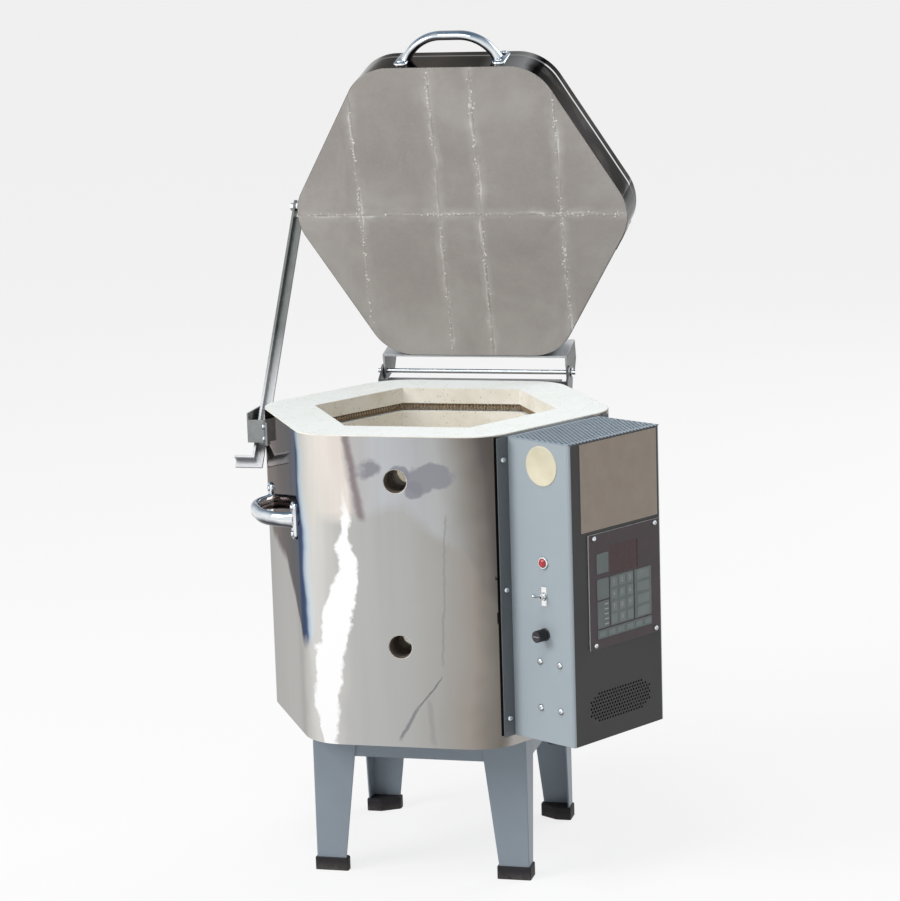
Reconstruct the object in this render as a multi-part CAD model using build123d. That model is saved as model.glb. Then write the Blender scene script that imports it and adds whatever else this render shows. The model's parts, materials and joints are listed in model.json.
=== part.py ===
from build123d import *
from math import cos, radians, sin, sqrt
import os

os.makedirs("parts", exist_ok=True)

# Driving dimensions of the kiln body, in millimetres and degrees
inch = 25.4
chamber_across = 11 * inch
brick_wall = 65.5
jacket_sheet = 0.6
corner_radius = 64
course_height = 4.5 * inch
course_names = ("top", "middle", "bottom")
floor_thickness = 52
floor_step = 1.5
base_sheet = 1.1
peephole_radius = 14.5
peephole_depths = (57, 267)

# Heating elements, their grooves and the probe
groove_height = 10.5
groove_depth = 13
groove_offsets = ((26, 88), (26, 88), (14, 88))
element_radius = 4
element_inset = 7
tail_offset = 20
tail_reach = 15
bushing_radius = 8
probe_offset = 46
probe_radius = 4.3

# Lid, measured closed, and how far it stands open at rest
lid_across = 410
lid_thickness = 63.5
lid_gap = 0.5
open_angle = 75.8
seam_near = 28.5
seam_far = 138

# Hinge
hinge_behind = 25.5
hinge_above = 8
hinge_half_width = 132.5
hinge_sheet = 2.5
rod_radius = 3.175
running_gap = 0.05

# Prop arm and its guide, with heights counted from the rim
arm_outer = 243.7
arm_leg = 12.7
arm_sheet = 3.2
arm_reach = 392
foot_reach = 24.3
prop_pivot_y = 210
prop_pivot_height = 237
guide_y = 10
guide_height = -33
guide_front = -14
guide_rear = 37
guide_outer = 248.5
guide_low = 30
guide_tall = 39
guide_sheet = 2
catch_at = 298.5
catch_length = 7
catch_depth = 2.2

# Handles
handle_spacing = 133
handle_rise = 39
handle_span = 124
handle_lean = 16
handle_bend = 55
handle_chords = 10
handle_bar = 12
handle_width = 19
handle_foot = (17, 49, 3)
handle_drop = 119
handle_screw_step = 17

# Screws, and the sides of the small round pieces and of their holes
shank_radius = 2.1
head_radius = 4
head_height = 2.4
head_sides = 6
shank_sides = 4
small_sides = 12

# Control box on the front right flat, with heights counted from the rim
box_width = 169
box_height = 379
box_depth = 101.2
box_top = -3.4
box_sheet = 1.5
flange_width = 19
panel_width = 133
panel_height = 145
panel_centre = (13, -193.5)
grille_length = 117
grille_height = 37
grille_pitch = 9
grille_hole = 3.2
grille_centre = (2, -340)
control_depth = 56
lamp_height = -155
toggle_height = -197
fuse_height = -245
relay_centre = (63, -310)
relay_screw_steps = (16.3, 29.3)
toggle_tilt = 14

# Stand
stand_height = 191
stand_half_x = 141
stand_half_y = 136
leg_sheet = 2
leg_front_widths = (38, 60)
leg_side_widths = (21, 42)
boot_height = 17
boot_wall = 2
leg_lift = 5
rail_apron = 37
rail_ledge = 24

# Worked out from the driving dimensions
root3 = sqrt(3)
body_across = chamber_across + 2 * brick_wall + 2 * jacket_sheet
flat_out = body_across / 2
rim = stand_height + base_sheet + floor_thickness + len(course_names) * course_height
slab_bottom = stand_height + base_sheet
hinge_y = flat_out + hinge_behind
hinge_z = rim + hinge_above
corner_cut = corner_radius * (2 / root3 - 1)
lid_out = lid_across / 2
lid_bottom = rim + lid_gap
lid_vertex = lid_across / root3 - corner_cut


def hexagon(across, radius):
    """A hexagon with flats facing front and back and rounded corners."""
    outline = RegularPolygon(across / 2, 6, major_radius=False)
    if radius > 0:
        outline = fillet(outline.vertices(), radius)
    return outline


def prism(outline, bottom, height):
    return extrude(Pos(0, 0, bottom) * outline, height)


def flat_frame(angle, out=flat_out, height=0):
    """Local frame on a flat: X along the flat, Y up, Z outward."""
    turn = radians(angle)
    origin = (out * cos(turn), out * sin(turn), height)
    return Plane(origin=origin, x_dir=(-sin(turn), cos(turn), 0), z_dir=(cos(turn), sin(turn), 0)).location


def along_x(x, y, z):
    """Local frame with Z pointing along the world's X."""
    return Plane(origin=(x, y, z), x_dir=(0, 1, 0), z_dir=(1, 0, 0)).location


def bar(x0, x1, y0, y1, z0, z1):
    """A block between two corners."""
    return Pos((x0 + x1) / 2, (y0 + y1) / 2, (z0 + z1) / 2) * Box(x1 - x0, y1 - y0, z1 - z0)


def pin(radius, height, taper=0, sides=small_sides):
    """A small round piece on the XY plane, drawn with few sides."""
    return extrude(RegularPolygon(radius, sides), height, taper=taper)


def drilled(body, frame, points, radius, depth=40, sides=small_sides):
    """Holes straight through, of the same sides as the small pieces in them."""
    for x, y in points:
        body -= frame * (Pos(x, y, -depth / 2) * pin(radius, depth, sides=sides))
    return body


def screw(length, size=1.0):
    """A plain screw: its head stands on the XY plane and its shank points down."""
    head = pin(head_radius * size, head_height * size, 22, head_sides)
    return head + pin(shank_radius * size, -length, sides=shank_sides)


placed = {}


def save(name, shapes):
    placed[name] = [solid for shape in shapes for solid in shape.solids()]


def seat_screws(screws, *names):
    """Cuts the holes of one node's screws into the nodes that they hold."""
    for name in names:
        save(name, [solid - placed[screws] for solid in placed[name]])


# Stand
def at_corner(body, side_x, side_y):
    """Carries a piece drawn at the front left corner to one of the four."""
    if side_x > 0:
        body = mirror(body, about=Plane.YZ)
    if side_y > 0:
        body = mirror(body, about=Plane.XZ)
    return body


def stand_leg():
    """A tapered leg folded from sheet, its outer corner upright."""
    height = stand_height - leg_lift
    low, high = leg_front_widths
    front = make_face(Polyline((0, 0), (low, 0), (high, height), (0, height), close=True))
    leg = extrude(Plane.XZ * front, -leg_sheet)
    low, high = leg_side_widths
    side = make_face(Polyline((0, 0), (low, 0), (high, height), (0, height), close=True))
    leg += extrude(Plane.YZ * side, leg_sheet)
    corner = leg.edges().filter_by(Axis.Z).sort_by_distance((0, 0, height / 2))[0]
    return Pos(-stand_half_x, -stand_half_y, leg_lift) * fillet(corner, leg_sheet * 0.8)


def leg_boot():
    """A moulded tip over the foot of a leg, cut away at its inner corner."""
    width = leg_front_widths[0] + 2 * boot_wall + 2
    depth = leg_side_widths[0] + 2 * boot_wall + 2
    outline = Polyline((0, 0), (width, 0), (width, depth * 0.45), (width * 0.45, depth), (0, depth), close=True)
    body = extrude(make_face(outline), boot_height)
    body = chamfer(body.edges().filter_by(Axis.Z), 1.4)
    body = chamfer(body.faces().sort_by(Axis.Z)[-1].edges(), 0.8)
    top = boot_height + 1
    slot = bar(0, leg_front_widths[0] + 2, 0, leg_sheet, leg_lift, top)
    slot += bar(0, leg_sheet, 0, leg_side_widths[0] + 2, leg_lift, top)
    body -= Pos(boot_wall, boot_wall, 0) * slot
    return Pos(-stand_half_x - boot_wall, -stand_half_y - boot_wall, 0) * body


def stand_rails():
    """Four folded rails welded inside the legs, each a ledge with a hanging apron."""
    half_x = stand_half_x - leg_sheet
    half_y = stand_half_y - leg_sheet
    rails = []
    for side in (0, 180):
        apron = bar(-half_x, half_x, -half_y, leg_sheet - half_y, stand_height - rail_apron, stand_height)
        ledge = bar(-half_x, half_x, -half_y, rail_ledge - half_y, stand_height - leg_sheet, stand_height)
        rails.append(Rot(0, 0, side) * (apron + ledge))
        end = half_y - leg_sheet
        apron = bar(-half_x, leg_sheet - half_x, -end, end, stand_height - rail_apron, stand_height)
        end = half_y - rail_ledge
        ledge = bar(-half_x, rail_ledge - half_x, -end, end, stand_height - leg_sheet, stand_height)
        rails.append(Rot(0, 0, side) * (apron + ledge))
    return rails


for side_x, across_name in ((-1, "left"), (1, "right")):
    for side_y, along_name in ((-1, "front"), (1, "back")):
        corner_name = f"{along_name}_{across_name}"
        save(f"stand_leg_{corner_name}", [at_corner(stand_leg(), side_x, side_y)])
        save(f"leg_boot_{corner_name}", [at_corner(leg_boot(), side_x, side_y)])
save("stand_rails", stand_rails())

# Base, floor and firing chamber
inner_outline = hexagon(body_across - 2 * jacket_sheet, corner_radius - jacket_sheet)
save("base_plate", [prism(inner_outline, stand_height, base_sheet)])


def floor_slab():
    """The slab under the walls, its middle stepped up inside them."""
    slab = prism(inner_outline, slab_bottom, floor_thickness)
    return slab + prism(hexagon(chamber_across - 1, 0), slab_bottom, floor_thickness + floor_step)


save("floor_slab", [floor_slab()])


def course_top(course):
    return rim - course * course_height


def element_heights(course):
    return [course_top(course) - offset for offset in groove_offsets[course]]


def feed_points(course):
    """Where the two ends of an element pass through the wall."""
    upper, lower = element_heights(course)
    return ((tail_offset, upper), (-tail_offset, lower))


def probe_height():
    return sum(element_heights(1)) / 2


def groove_ring(height):
    """The cutter of one element groove, bevelled at its back."""
    ring = prism(hexagon(chamber_across + 2 * groove_depth, 0), height - groove_height / 2, groove_height)
    levels = ring.edges().group_by(Axis.Z)
    return chamfer(levels[0] + levels[-1], 3)


def sector(index):
    """The wedge over one flat, cut at two corners of the hexagon."""
    near = radians(60 * index)
    far = radians(60 * index + 60)
    reach = body_across
    return make_face(Polyline((0, 0), (reach * cos(near), reach * sin(near)),
                              (reach * cos(far), reach * sin(far)), close=True))


def peephole(depth, radius, length):
    """The round bore of a peephole, drilled from the front flat."""
    return flat_frame(-90, flat_out, rim - depth) * Cylinder(radius, length)


def wall_course(course):
    """Six mitred bricks with two grooves and the ways through them."""
    bottom = course_top(course) - course_height
    body = prism(inner_outline - hexagon(chamber_across, 0), bottom, course_height)
    upper, lower = element_heights(course)
    body -= groove_ring(upper)
    body -= groove_ring(lower)
    frame = flat_frame(-30, chamber_across / 2)
    crossing = bar(-groove_height, 0, lower, upper, -1, groove_depth)
    body -= frame * crossing
    body = drilled(body, frame, feed_points(course), element_radius + 0.6, 3 * brick_wall, 8)
    if course == 1:
        body = drilled(body, frame, [(probe_offset, probe_height())], probe_radius + 0.2, 3 * brick_wall)
    for depth in peephole_depths:
        if bottom < rim - depth < course_top(course):
            body -= peephole(depth, peephole_radius, 3 * brick_wall)
    return [body & prism(sector(index), bottom, course_height) for index in range(6)]


front_brick = 4
for course, course_name in enumerate(course_names):
    bricks = wall_course(course)
    low, high = course * course_height, (course + 1) * course_height
    if any(low < depth < high for depth in peephole_depths):
        save(f"peephole_brick_{course_name}", [bricks.pop(front_brick)])
    save(f"wall_course_{course_name}", bricks)


def element(course):
    """One element: in through the wall, twice round the chamber, out again."""
    upper, lower = element_heights(course)
    apothem = chamber_across / 2 + element_inset
    circle = apothem * 2 / root3
    turn = radians(-30)

    def on_flat(offset, height, out=apothem):
        x = out * cos(turn) - offset * sin(turn)
        y = out * sin(turn) + offset * cos(turn)
        return (x, y, height)

    corners = [(circle * cos(radians(60 * k)), circle * sin(radians(60 * k))) for k in range(6)]
    end = flat_out + tail_reach
    drop = -groove_height / 2
    points = [on_flat(tail_offset, upper, end), on_flat(tail_offset, upper)]
    points += [(x, y, upper) for x, y in corners]
    points += [on_flat(drop, upper), on_flat(drop, lower)]
    points += [(x, y, lower) for x, y in corners]
    points += [on_flat(-tail_offset, lower), on_flat(-tail_offset, lower, end)]
    path = Polyline(*points)
    start = Plane(origin=path.position_at(0), z_dir=path.tangent_at(0))
    return sweep(start * RegularPolygon(element_radius, 6), path=path, transition=Transition.RIGHT)


def feed_bushings():
    """A porcelain bushing where each element end leaves the jacket."""
    frame = flat_frame(-30, flat_out - jacket_sheet)
    collar = pin(bushing_radius, 9, sides=8) - pin(element_radius + 0.6, 9, sides=8)
    points = [point for course in range(len(course_names)) for point in feed_points(course)]
    return [frame * (Pos(x, y, 0) * collar) for x, y in points]


def thermocouple():
    """A sheathed probe through the middle course, reaching into the chamber."""
    reach_in = 24
    frame = flat_frame(-30, chamber_across / 2 - reach_in, probe_height())
    probe = pin(probe_radius, reach_in + brick_wall + 10)
    probe = chamfer(probe.edges().group_by(Axis.Z)[0], 1.6)
    return frame * (Pos(probe_offset, 0, 0) * probe)


def thermocouple_block():
    """The ceramic block that carries the probe's two terminals."""
    body = bar(-13, 13, -10, 10, 0, 12)
    body = chamfer(body.edges().filter_by(Axis.Z), 2)
    body -= bar(-20, 20, -1.5, 1.5, 8, 20)
    body = drilled(body, Pos(0, 0, 12), [(-7, 0), (7, 0)], 2.2, 12)
    place = Pos(probe_offset, 0, 10 - jacket_sheet)
    return flat_frame(-30, flat_out, probe_height()) * (place * body)


for course, course_name in enumerate(course_names):
    save(f"element_{course_name}", [element(course)])
save("feed_bushings", feed_bushings())
save("thermocouple", [thermocouple()])
save("thermocouple_block", [thermocouple_block()])


def jacket():
    """The polished sheet round the bricks, lapped on a rear flat."""
    low, high = stand_height, rim - 1.2
    body = prism(hexagon(body_across, corner_radius) - inner_outline, low, high - low)
    body += flat_frame(150) * bar(-71, -49, low, high, 0, jacket_sheet)
    for depth in peephole_depths:
        body -= peephole(depth, peephole_radius + 1, 20)
    frame = flat_frame(-30)
    for course in range(len(course_names)):
        body = drilled(body, frame, feed_points(course), bushing_radius + 0.2, 20, 8)
    return drilled(body, frame, [(probe_offset, probe_height())], probe_radius + 0.4, 20)


save("jacket", [jacket()])


# Hinge on the back flat
def hinge_hole():
    """The hole of the hinge rod, right across both brackets."""
    return along_x(0, hinge_y, hinge_z) * Cylinder(rod_radius + running_gap, 4 * hinge_half_width)


def ear_pair(outline, outer):
    """Two sheet ears from one side view, their outer faces at plus and minus outer."""
    ear = Plane.YZ * make_face(outline)
    left = Pos(-outer, 0, 0) * extrude(ear, hinge_sheet)
    right = Pos(outer - hinge_sheet, 0, 0) * extrude(ear, hinge_sheet)
    return left + right


def hinge_base():
    """A folded plate with a ledge, and two upright ears that carry the rod."""
    plate_drop, ledge_depth, ledge_half = 58, 19, 121
    top = rim - 0.5
    low = top - plate_drop
    half = hinge_half_width
    body = bar(-half, half, flat_out, flat_out + hinge_sheet, low, top)
    body += bar(-ledge_half, ledge_half, flat_out, flat_out + ledge_depth, top - hinge_sheet, top)
    outline = Polyline((flat_out, low), (flat_out, top), (hinge_y - 11, hinge_z + 2), (hinge_y - 5, hinge_z + 9),
                       (hinge_y + 5, hinge_z + 9), (hinge_y + 11, hinge_z + 2), (hinge_y + 11, hinge_z - 8),
                       (flat_out + 14, low), close=True)
    return body + ear_pair(outline, half) - hinge_hole()


def hinge_rod():
    return along_x(0, hinge_y, hinge_z) * Cylinder(rod_radius, 2 * hinge_half_width + 12)


def rod_clips():
    """A push-on clip on each end of the rod."""
    clip = pin(6.5, 1.2) - pin(rod_radius / cos(radians(15)), 1.2)
    return [Plane((side * (hinge_half_width + 0.5), hinge_y, hinge_z), z_dir=(side, 0, 0)).location * clip
            for side in (-1, 1)]


save("hinge_base", [hinge_base()])
save("hinge_rod", [hinge_rod()])
save("rod_clips", rod_clips())


def turned(y, z, angle):
    """A point of the side view turned about the hinge rod."""
    turn = radians(angle)
    return (hinge_y + (y - hinge_y) * cos(turn) - (z - hinge_z) * sin(turn),
            hinge_z + (y - hinge_y) * sin(turn) + (z - hinge_z) * cos(turn))


pivot_z = rim + prop_pivot_height
closed_pivot_y, closed_pivot_z = turned(prop_pivot_y, pivot_z, open_angle)

# Lid, drawn closed and turned open when it is saved
lid_outline = hexagon(lid_across - 2 * jacket_sheet, corner_radius - jacket_sheet)
stud_radius = 3
stud_depth = 30


def stud_hole():
    """The hole for the prop arm's bolt in the lid's left corner."""
    place = Plane((-lid_vertex, closed_pivot_y, closed_pivot_z), z_dir=(-1, 0, 0)).location
    return place * (Pos(0, 0, -stud_depth) * pin(stud_radius, 2 * stud_depth))


def lid_bricks():
    """Ten bricks cemented into one slab: one seam across, four along."""
    slab = prism(lid_outline, lid_bottom, lid_thickness) - stud_hole()
    seams = (-lid_across, -seam_far, -seam_near, seam_near, seam_far, lid_across)
    bricks = []
    for left, right in zip(seams[:-1], seams[1:]):
        for near, far in ((-lid_across, 0), (0, lid_across)):
            bricks.append(slab & bar(left, right, near, far, lid_bottom - 1, lid_bottom + 2 * lid_thickness))
    return bricks


def lid_band():
    """The band round the slab, its upper edge turned in over the bricks."""
    low, high = lid_bottom + 0.5, lid_bottom + lid_thickness
    outside = hexagon(lid_across, corner_radius)
    body = prism(outside - lid_outline, low, high - low)
    body += prism(outside - hexagon(lid_across - 18, corner_radius - 9), high, jacket_sheet)
    body += flat_frame(30, lid_out) * bar(-80, -60, low, high, 0, jacket_sheet)
    return body - stud_hole()


def lid_hinge_channel():
    """A channel across the lid's back flat, its ends folded into two ears."""
    half = hinge_half_width - hinge_sheet - 1
    low, high, rear = lid_bottom + 1.5, lid_bottom + 60, hinge_y + 13
    body = bar(-half, half, lid_out, lid_out + hinge_sheet, low, high)
    outline = Polyline((lid_out, low), (rear - 5, low), (rear, low + 5), (rear, high - 12),
                       (rear - 12, high), (lid_out, high), close=True)
    return body + ear_pair(outline, half) - hinge_hole()


def arch_handle():
    """An oval bar bent into an arch between two oblong feet.

    Local frame: X from foot to foot, Z away from the surface.
    """
    half = handle_span / 2
    top = half - handle_lean
    rise = handle_rise - handle_bar / 2
    bend = FilletPolyline((-half, 0, 1), (-top, 0, rise), (top, 0, rise), (half, 0, 1), radius=handle_bend)
    path = Polyline(*[bend.position_at(step / handle_chords) for step in range(handle_chords + 1)])
    start = Plane(origin=path.position_at(0), x_dir=(0, 1, 0), z_dir=path.tangent_at(0))
    oval = scale(RegularPolygon(1, 10), by=(handle_width / 2, handle_bar / 2, 1))
    body = sweep(start * oval, path=path, transition=Transition.RIGHT)
    width, length, sheet = handle_foot
    foot = extrude(chamfer(Rectangle(width, length).vertices(), width * 0.3), sheet)
    for side in (-1, 1):
        body += Pos(side * handle_spacing / 2, 0, 0) * foot
    body -= bar(-200, 200, -50, 50, -50, 0)
    return drilled(body, Pos(0, 0, 0), handle_screw_points(), shank_radius, 20, shank_sides)


def handle_screw_points():
    return [(x * handle_spacing / 2, y * handle_screw_step) for x in (-1, 1) for y in (-1, 1)]


def screws_at(frame, points, lift, length):
    """Screws on a frame, their heads lifted by the sheet beneath."""
    return [frame * (Pos(x, y, lift) * screw(length)) for x, y in points]


lid_front = Plane((0, -lid_out, lid_bottom + lid_thickness / 2), x_dir=(1, 0, 0), z_dir=(0, -1, 0)).location
lid_back = Plane((0, lid_out, lid_bottom + 31), x_dir=(-1, 0, 0), z_dir=(0, 1, 0)).location
channel_points = [(x, y) for x in (-60, 60) for y in (-16, 16)]
opened = Pos(0, hinge_y, hinge_z) * Rot(-open_angle, 0, 0) * Pos(0, -hinge_y, -hinge_z)


def save_open(name, shapes):
    save(name, [opened * shape for shape in shapes])


def prop_pivot_bolt():
    """A shouldered bolt from the lid's corner through the arm's flange."""
    place = Plane((-lid_vertex, closed_pivot_y, closed_pivot_z), z_dir=(-1, 0, 0)).location
    shoulder = arm_outer - arm_sheet - 0.4 - lid_vertex
    through = arm_outer - lid_vertex
    bolt = pin(7, shoulder)
    bolt += Pos(0, 0, -stud_depth) * pin(stud_radius, stud_depth)
    bolt += extrude(Circle(rod_radius), through + 0.4)
    bolt += Pos(0, 0, through + 0.4) * pin(5.5, 4.4, sides=6)
    return place * bolt


save_open("lid_bricks", lid_bricks())
save_open("lid_band", [lid_band()])
save_open("lid_hinge_channel", [lid_hinge_channel()])
save_open("lid_handle", [lid_front * arch_handle()])
save_open("lid_screws", screws_at(lid_front, handle_screw_points(), handle_foot[2], 16)
          + screws_at(lid_back, channel_points, hinge_sheet, 16))
seat_screws("lid_screws", "lid_bricks", "lid_band", "lid_hinge_channel")
save_open("prop_pivot_bolt", [prop_pivot_bolt()])


# Prop arm at rest, with the lid open
def arm_frame():
    """Local frame of the arm: X down along it, Y the world's X, Z to its front."""
    run_y = guide_y - prop_pivot_y
    run_z = guide_height - prop_pivot_height
    return Plane(origin=(0, prop_pivot_y, pivot_z), x_dir=(0, run_y, run_z), z_dir=(0, run_z, -run_y)).location


def prop_arm():
    """An angle bar with its flange to the front and a foot turned outward."""
    back = -arm_leg / 2
    front = arm_leg / 2
    outer = -arm_outer
    inner = arm_leg - arm_outer
    foot_end = -arm_outer - foot_reach
    foot_top = arm_reach - arm_leg
    body = bar(14, arm_reach, outer, inner, back, back + arm_sheet)
    body += bar(-9, foot_top + arm_sheet, outer, outer + arm_sheet, back, front)
    body += bar(foot_top, arm_reach, foot_end, outer, back, back + arm_sheet)
    body += bar(foot_top, foot_top + arm_sheet, foot_end, outer, back, front)
    tip = body.edges().filter_by(Axis.Y).group_by(Axis.X)[0]
    body = fillet(tip, 5)
    body -= Rot(90, 0, 0) * Cylinder(rod_radius + running_gap, 3 * arm_outer)
    catch = bar(catch_at, catch_at + catch_length, outer - 1, inner + 1, back - 1, back + catch_depth)
    body -= catch
    return arm_frame() * body


def prop_bracket():
    """A strip bent round the body's left corner into a loop with two feet.

    Its outer and rear walls stand taller: the rear one takes the arm's catch.
    """
    low = rim + guide_height - guide_low / 2
    top = low + guide_tall
    sheet = guide_sheet
    body = bar(-guide_outer - sheet, -200, guide_front - sheet, guide_rear + sheet, low, top)
    body -= bar(-guide_outer, -190, guide_front, guide_rear, low - 1, top + 1)
    skin = hexagon(body_across + 2 * sheet, corner_radius + sheet)
    skin = prism(skin, low, guide_tall)
    body += skin & bar(-300, -150, guide_front - 22, guide_front, low - 1, top + 1)
    body += skin & bar(-300, -150, guide_rear, guide_rear + 22, low - 1, top + 1)
    body -= prism(hexagon(body_across, corner_radius), low - 1, guide_tall + 2)
    return body - bar(-guide_outer, 0, -100, guide_front + 1, low + guide_low, top + 1)


save("prop_arm", [prop_arm()])
save("prop_bracket", [prop_bracket()])

# Carrying handles on the front left flat and the one opposite
for angle, side_name in ((210, "left"), (30, "right")):
    save(f"body_handle_{side_name}", [flat_frame(angle, flat_out, rim - handle_drop) * arch_handle()])

# Control box
box_frame = flat_frame(-30, flat_out, rim)
half_box = box_width / 2
box_bottom = box_top - box_height
flange_points = [(side * (half_box + flange_width / 2), height)
                 for side in (-1, 1) for height in (box_top - 28, box_top - 192, box_top - 356)]
relay_points = [(x * relay_screw_steps[0], y * relay_screw_steps[1]) for x in (-1, 1) for y in (-1, 1)]
cord_place = box_frame * Plane(origin=(-48, box_bottom, 36), x_dir=(1, 0, 0), z_dir=(0, -1, 0)).location


def side_place(depth, height):
    """A place on the box's left side: X deeper from the kiln, Z out of the side."""
    return box_frame * Plane(origin=(-half_box, height, depth), x_dir=(0, 0, 1), z_dir=(-1, 0, 0)).location


def box_back():
    """The plate screwed to the jacket, with a flange each side and windows."""
    body = bar(-half_box - flange_width, half_box + flange_width, box_bottom, box_top, 0, box_sheet)
    for course in range(len(course_names)):
        heights = [height - rim for height in element_heights(course)]
        right = probe_offset + 18 if course == 1 else 36
        body -= bar(-36, right, min(heights) - 14, max(heights) + 14, -1, 3)
    return body


def grille_holes():
    """Staggered six sided holes that fill an oblong field."""
    radius = grille_height / 2
    straight = grille_length / 2 - radius
    rows = []
    for row in range(-2, 3):
        y = row * grille_pitch * root3 / 2
        for column in range(-10, 11):
            x = (column + (row % 2) / 2) * grille_pitch
            beyond = max(abs(x) - straight, 0)
            if sqrt(beyond * beyond + y * y) < radius - 2:
                rows.append((x, y))
    return [(grille_centre[0] + x, grille_centre[1] + y) for x, y in rows]


def box_cover():
    """Left side, face, right side and bottom, folded from one sheet."""
    inside = half_box - box_sheet
    top = box_top - box_sheet
    body = bar(-half_box, half_box, box_bottom, top, box_sheet, box_depth)
    body -= bar(-inside, inside, box_bottom + box_sheet, top + 1, 0, box_depth - box_sheet)
    x, y = panel_centre
    body -= bar(x - 52, x + 52, y - 58, y + 58, box_depth - 9, box_depth + 9)
    face = Plane.XY.offset(box_depth - 9)
    pattern = Sketch() + [Pos(a, b) * RegularPolygon(grille_hole, 6) for a, b in grille_holes()]
    body -= extrude(face * pattern, 18)
    body = box_frame * drilled(body, Pos(0, 0, box_depth), panel_points(), 1.8, 9, shank_sides)
    for height, radius in ((lamp_height, 4.6), (toggle_height, 3.2), (fuse_height, 6.2)):
        body = drilled(body, side_place(control_depth, height), [(0, 0)], radius, 9)
    body = drilled(body, side_place(*relay_centre), relay_points, shank_radius, 9, shank_sides)
    return drilled(body, cord_place, [(0, 0)], 10, 9)


def box_top_vent():
    """The vented top sheet with two ranks of narrow slots."""
    body = bar(-half_box, half_box, box_top - box_sheet, box_top, box_sheet, box_depth)
    slots = []
    for column in range(-6, 7):
        for middle in (28, 75):
            x = column * 12.2
            slots.append(bar(x - 3.2, x + 3.2, box_top - 5, box_top + 5, middle - 20, middle + 20))
    return body - slots


def controller_plate():
    """The controller's front plate, with its display window cut out."""
    x, y = panel_centre
    half_w, half_h = panel_width / 2, panel_height / 2
    body = bar(x - half_w, x + half_w, y - half_h, y + half_h, box_depth, box_depth + 1.6)
    body = chamfer(body.edges().filter_by(Axis.Z), 1)
    body -= bar(x - 28, x + 24, y + 18, y + 54, box_depth - 1, box_depth + 9)
    return drilled(body, Pos(0, 0, box_depth), panel_points(), 1.8, 9, shank_sides)


def panel_points():
    x, y = panel_centre
    return [(x + i * 57, y + j * 67.5) for i in (-1, 1) for j in (-1, 1)]


def display_window():
    x, y = panel_centre
    return bar(x - 28, x + 24, y + 18, y + 54, box_depth, box_depth + 1.2)


def keypad():
    """The raised key blocks of the controller's overlay."""
    x, y = panel_centre
    low = box_depth + 1.6
    blocks = [(-53, -31, 22, 47), (-53, -31, -11, 15), (-53, -31, -47, -13),
              (-29, 15, -47, 15), (17, 49, -47, 15), (-53, 49, -60, -49)]
    keys = []
    for left, right, bottom, top in blocks:
        key = bar(x + left, x + right, y + bottom, y + top, low, low + 0.5)
        keys.append(chamfer(key.edges().filter_by(Axis.Z), 1.4))
    return keys


def controller_board():
    """The circuit board behind the plate, with its display and its terminals."""
    x, y = panel_centre
    back = box_depth - 13
    body = bar(x - 50, x + 50, y - 56, y + 56, back, back + 1.6)
    body += bar(x - 26, x + 22, y + 20, y + 52, back + 1.6, box_depth - 0.5)
    body += bar(x - 40, x + 40, y - 52, y - 42, back - 10, back)
    body += bar(x + 14, x + 42, y - 24, y - 2, back - 16, back)
    return body


def controller_screws():
    return [box_frame * (Pos(x, y, box_depth + 1.6) * screw(8, 0.85)) for x, y in panel_points()]


def lamp_body():
    """The pilot lamp's bezel and the barrel behind the sheet."""
    body = pin(8, 2.2, 22) + pin(4.5, -26)
    return side_place(control_depth, lamp_height) * (body - Pos(0, 0, 0.6) * pin(5.6, 9))


def lamp_lens():
    lens = pin(5.5, 2.4) + Pos(0, 0, 2.4) * pin(5.5, 2, 45)
    return side_place(control_depth, lamp_height) * (Pos(0, 0, 0.6) * lens)


def toggle_body():
    """The switch body inside, its threaded neck, label plate and nut."""
    body = bar(-7, 7, -14, 14, -26, -box_sheet)
    body += Pos(0, 0, -6) * pin(3.1, 13)
    body += bar(-4.2, 4.2, -12.5, 12.5, 0, 1)
    body += Pos(0, 0, 1) * pin(5.4, 2.6, sides=6)
    body -= Pos(0, 0, 7.5) * (Rot(180, 0, 0) * pin(2.8, 6, 15))
    return side_place(control_depth, toggle_height) * body


def toggle_lever():
    """A tapered bat lever, tipped up, its thin end at the pivot in the neck."""
    lever = Rot(180, 0, 0) * pin(2.1, 18.4, 3.6) + pin(2.1, 1.6, 38)
    lever = Pos(0, 0, 17.8) * lever
    return side_place(control_depth, toggle_height) * (Pos(0, 0, 3) * (Rot(-toggle_tilt, 0, 0) * lever))


def fuse_body():
    """The fuse holder's collar, its barrel and its nut inside."""
    body = pin(8, 2) + pin(6.1, -34)
    body += Pos(0, 0, -box_sheet - 3) * pin(9, 3, sides=6)
    body -= Pos(0, 0, -20) * pin(4.4, 29)
    return side_place(control_depth, fuse_height) * body


def fuse_cap():
    """The fluted bayonet cap, its neck in the barrel and a slot in its end."""
    body = Pos(0, 0, 2.3) * pin(7.4, 15)
    body = chamfer(body.edges().group_by(Axis.Z)[-1], 1)
    body += Pos(0, 0, -14) * pin(4.1, 17)
    for flute in range(8):
        body -= Rot(0, 0, flute * 45) * (Pos(7.4, 0, 10) * Box(1.5, 1.8, 11))
    body -= bar(-5, 5, -0.8, 0.8, 16, 20)
    return side_place(control_depth, fuse_height) * body


def relay():
    """The power relay inside, held by four screws through the left side."""
    body = bar(-22, 22, -35, 35, -box_sheet - 4, -box_sheet)
    body += bar(-17, 17, -24, 24, -box_sheet - 34, -box_sheet - 4)
    for step in (-11, 0, 11):
        body += bar(step - 3, step + 3, -32, 32, -box_sheet - 24, -box_sheet - 20)
    body = drilled(body, Pos(0, 0, 0), relay_points, shank_radius, 30, shank_sides)
    return side_place(*relay_centre) * body


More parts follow.
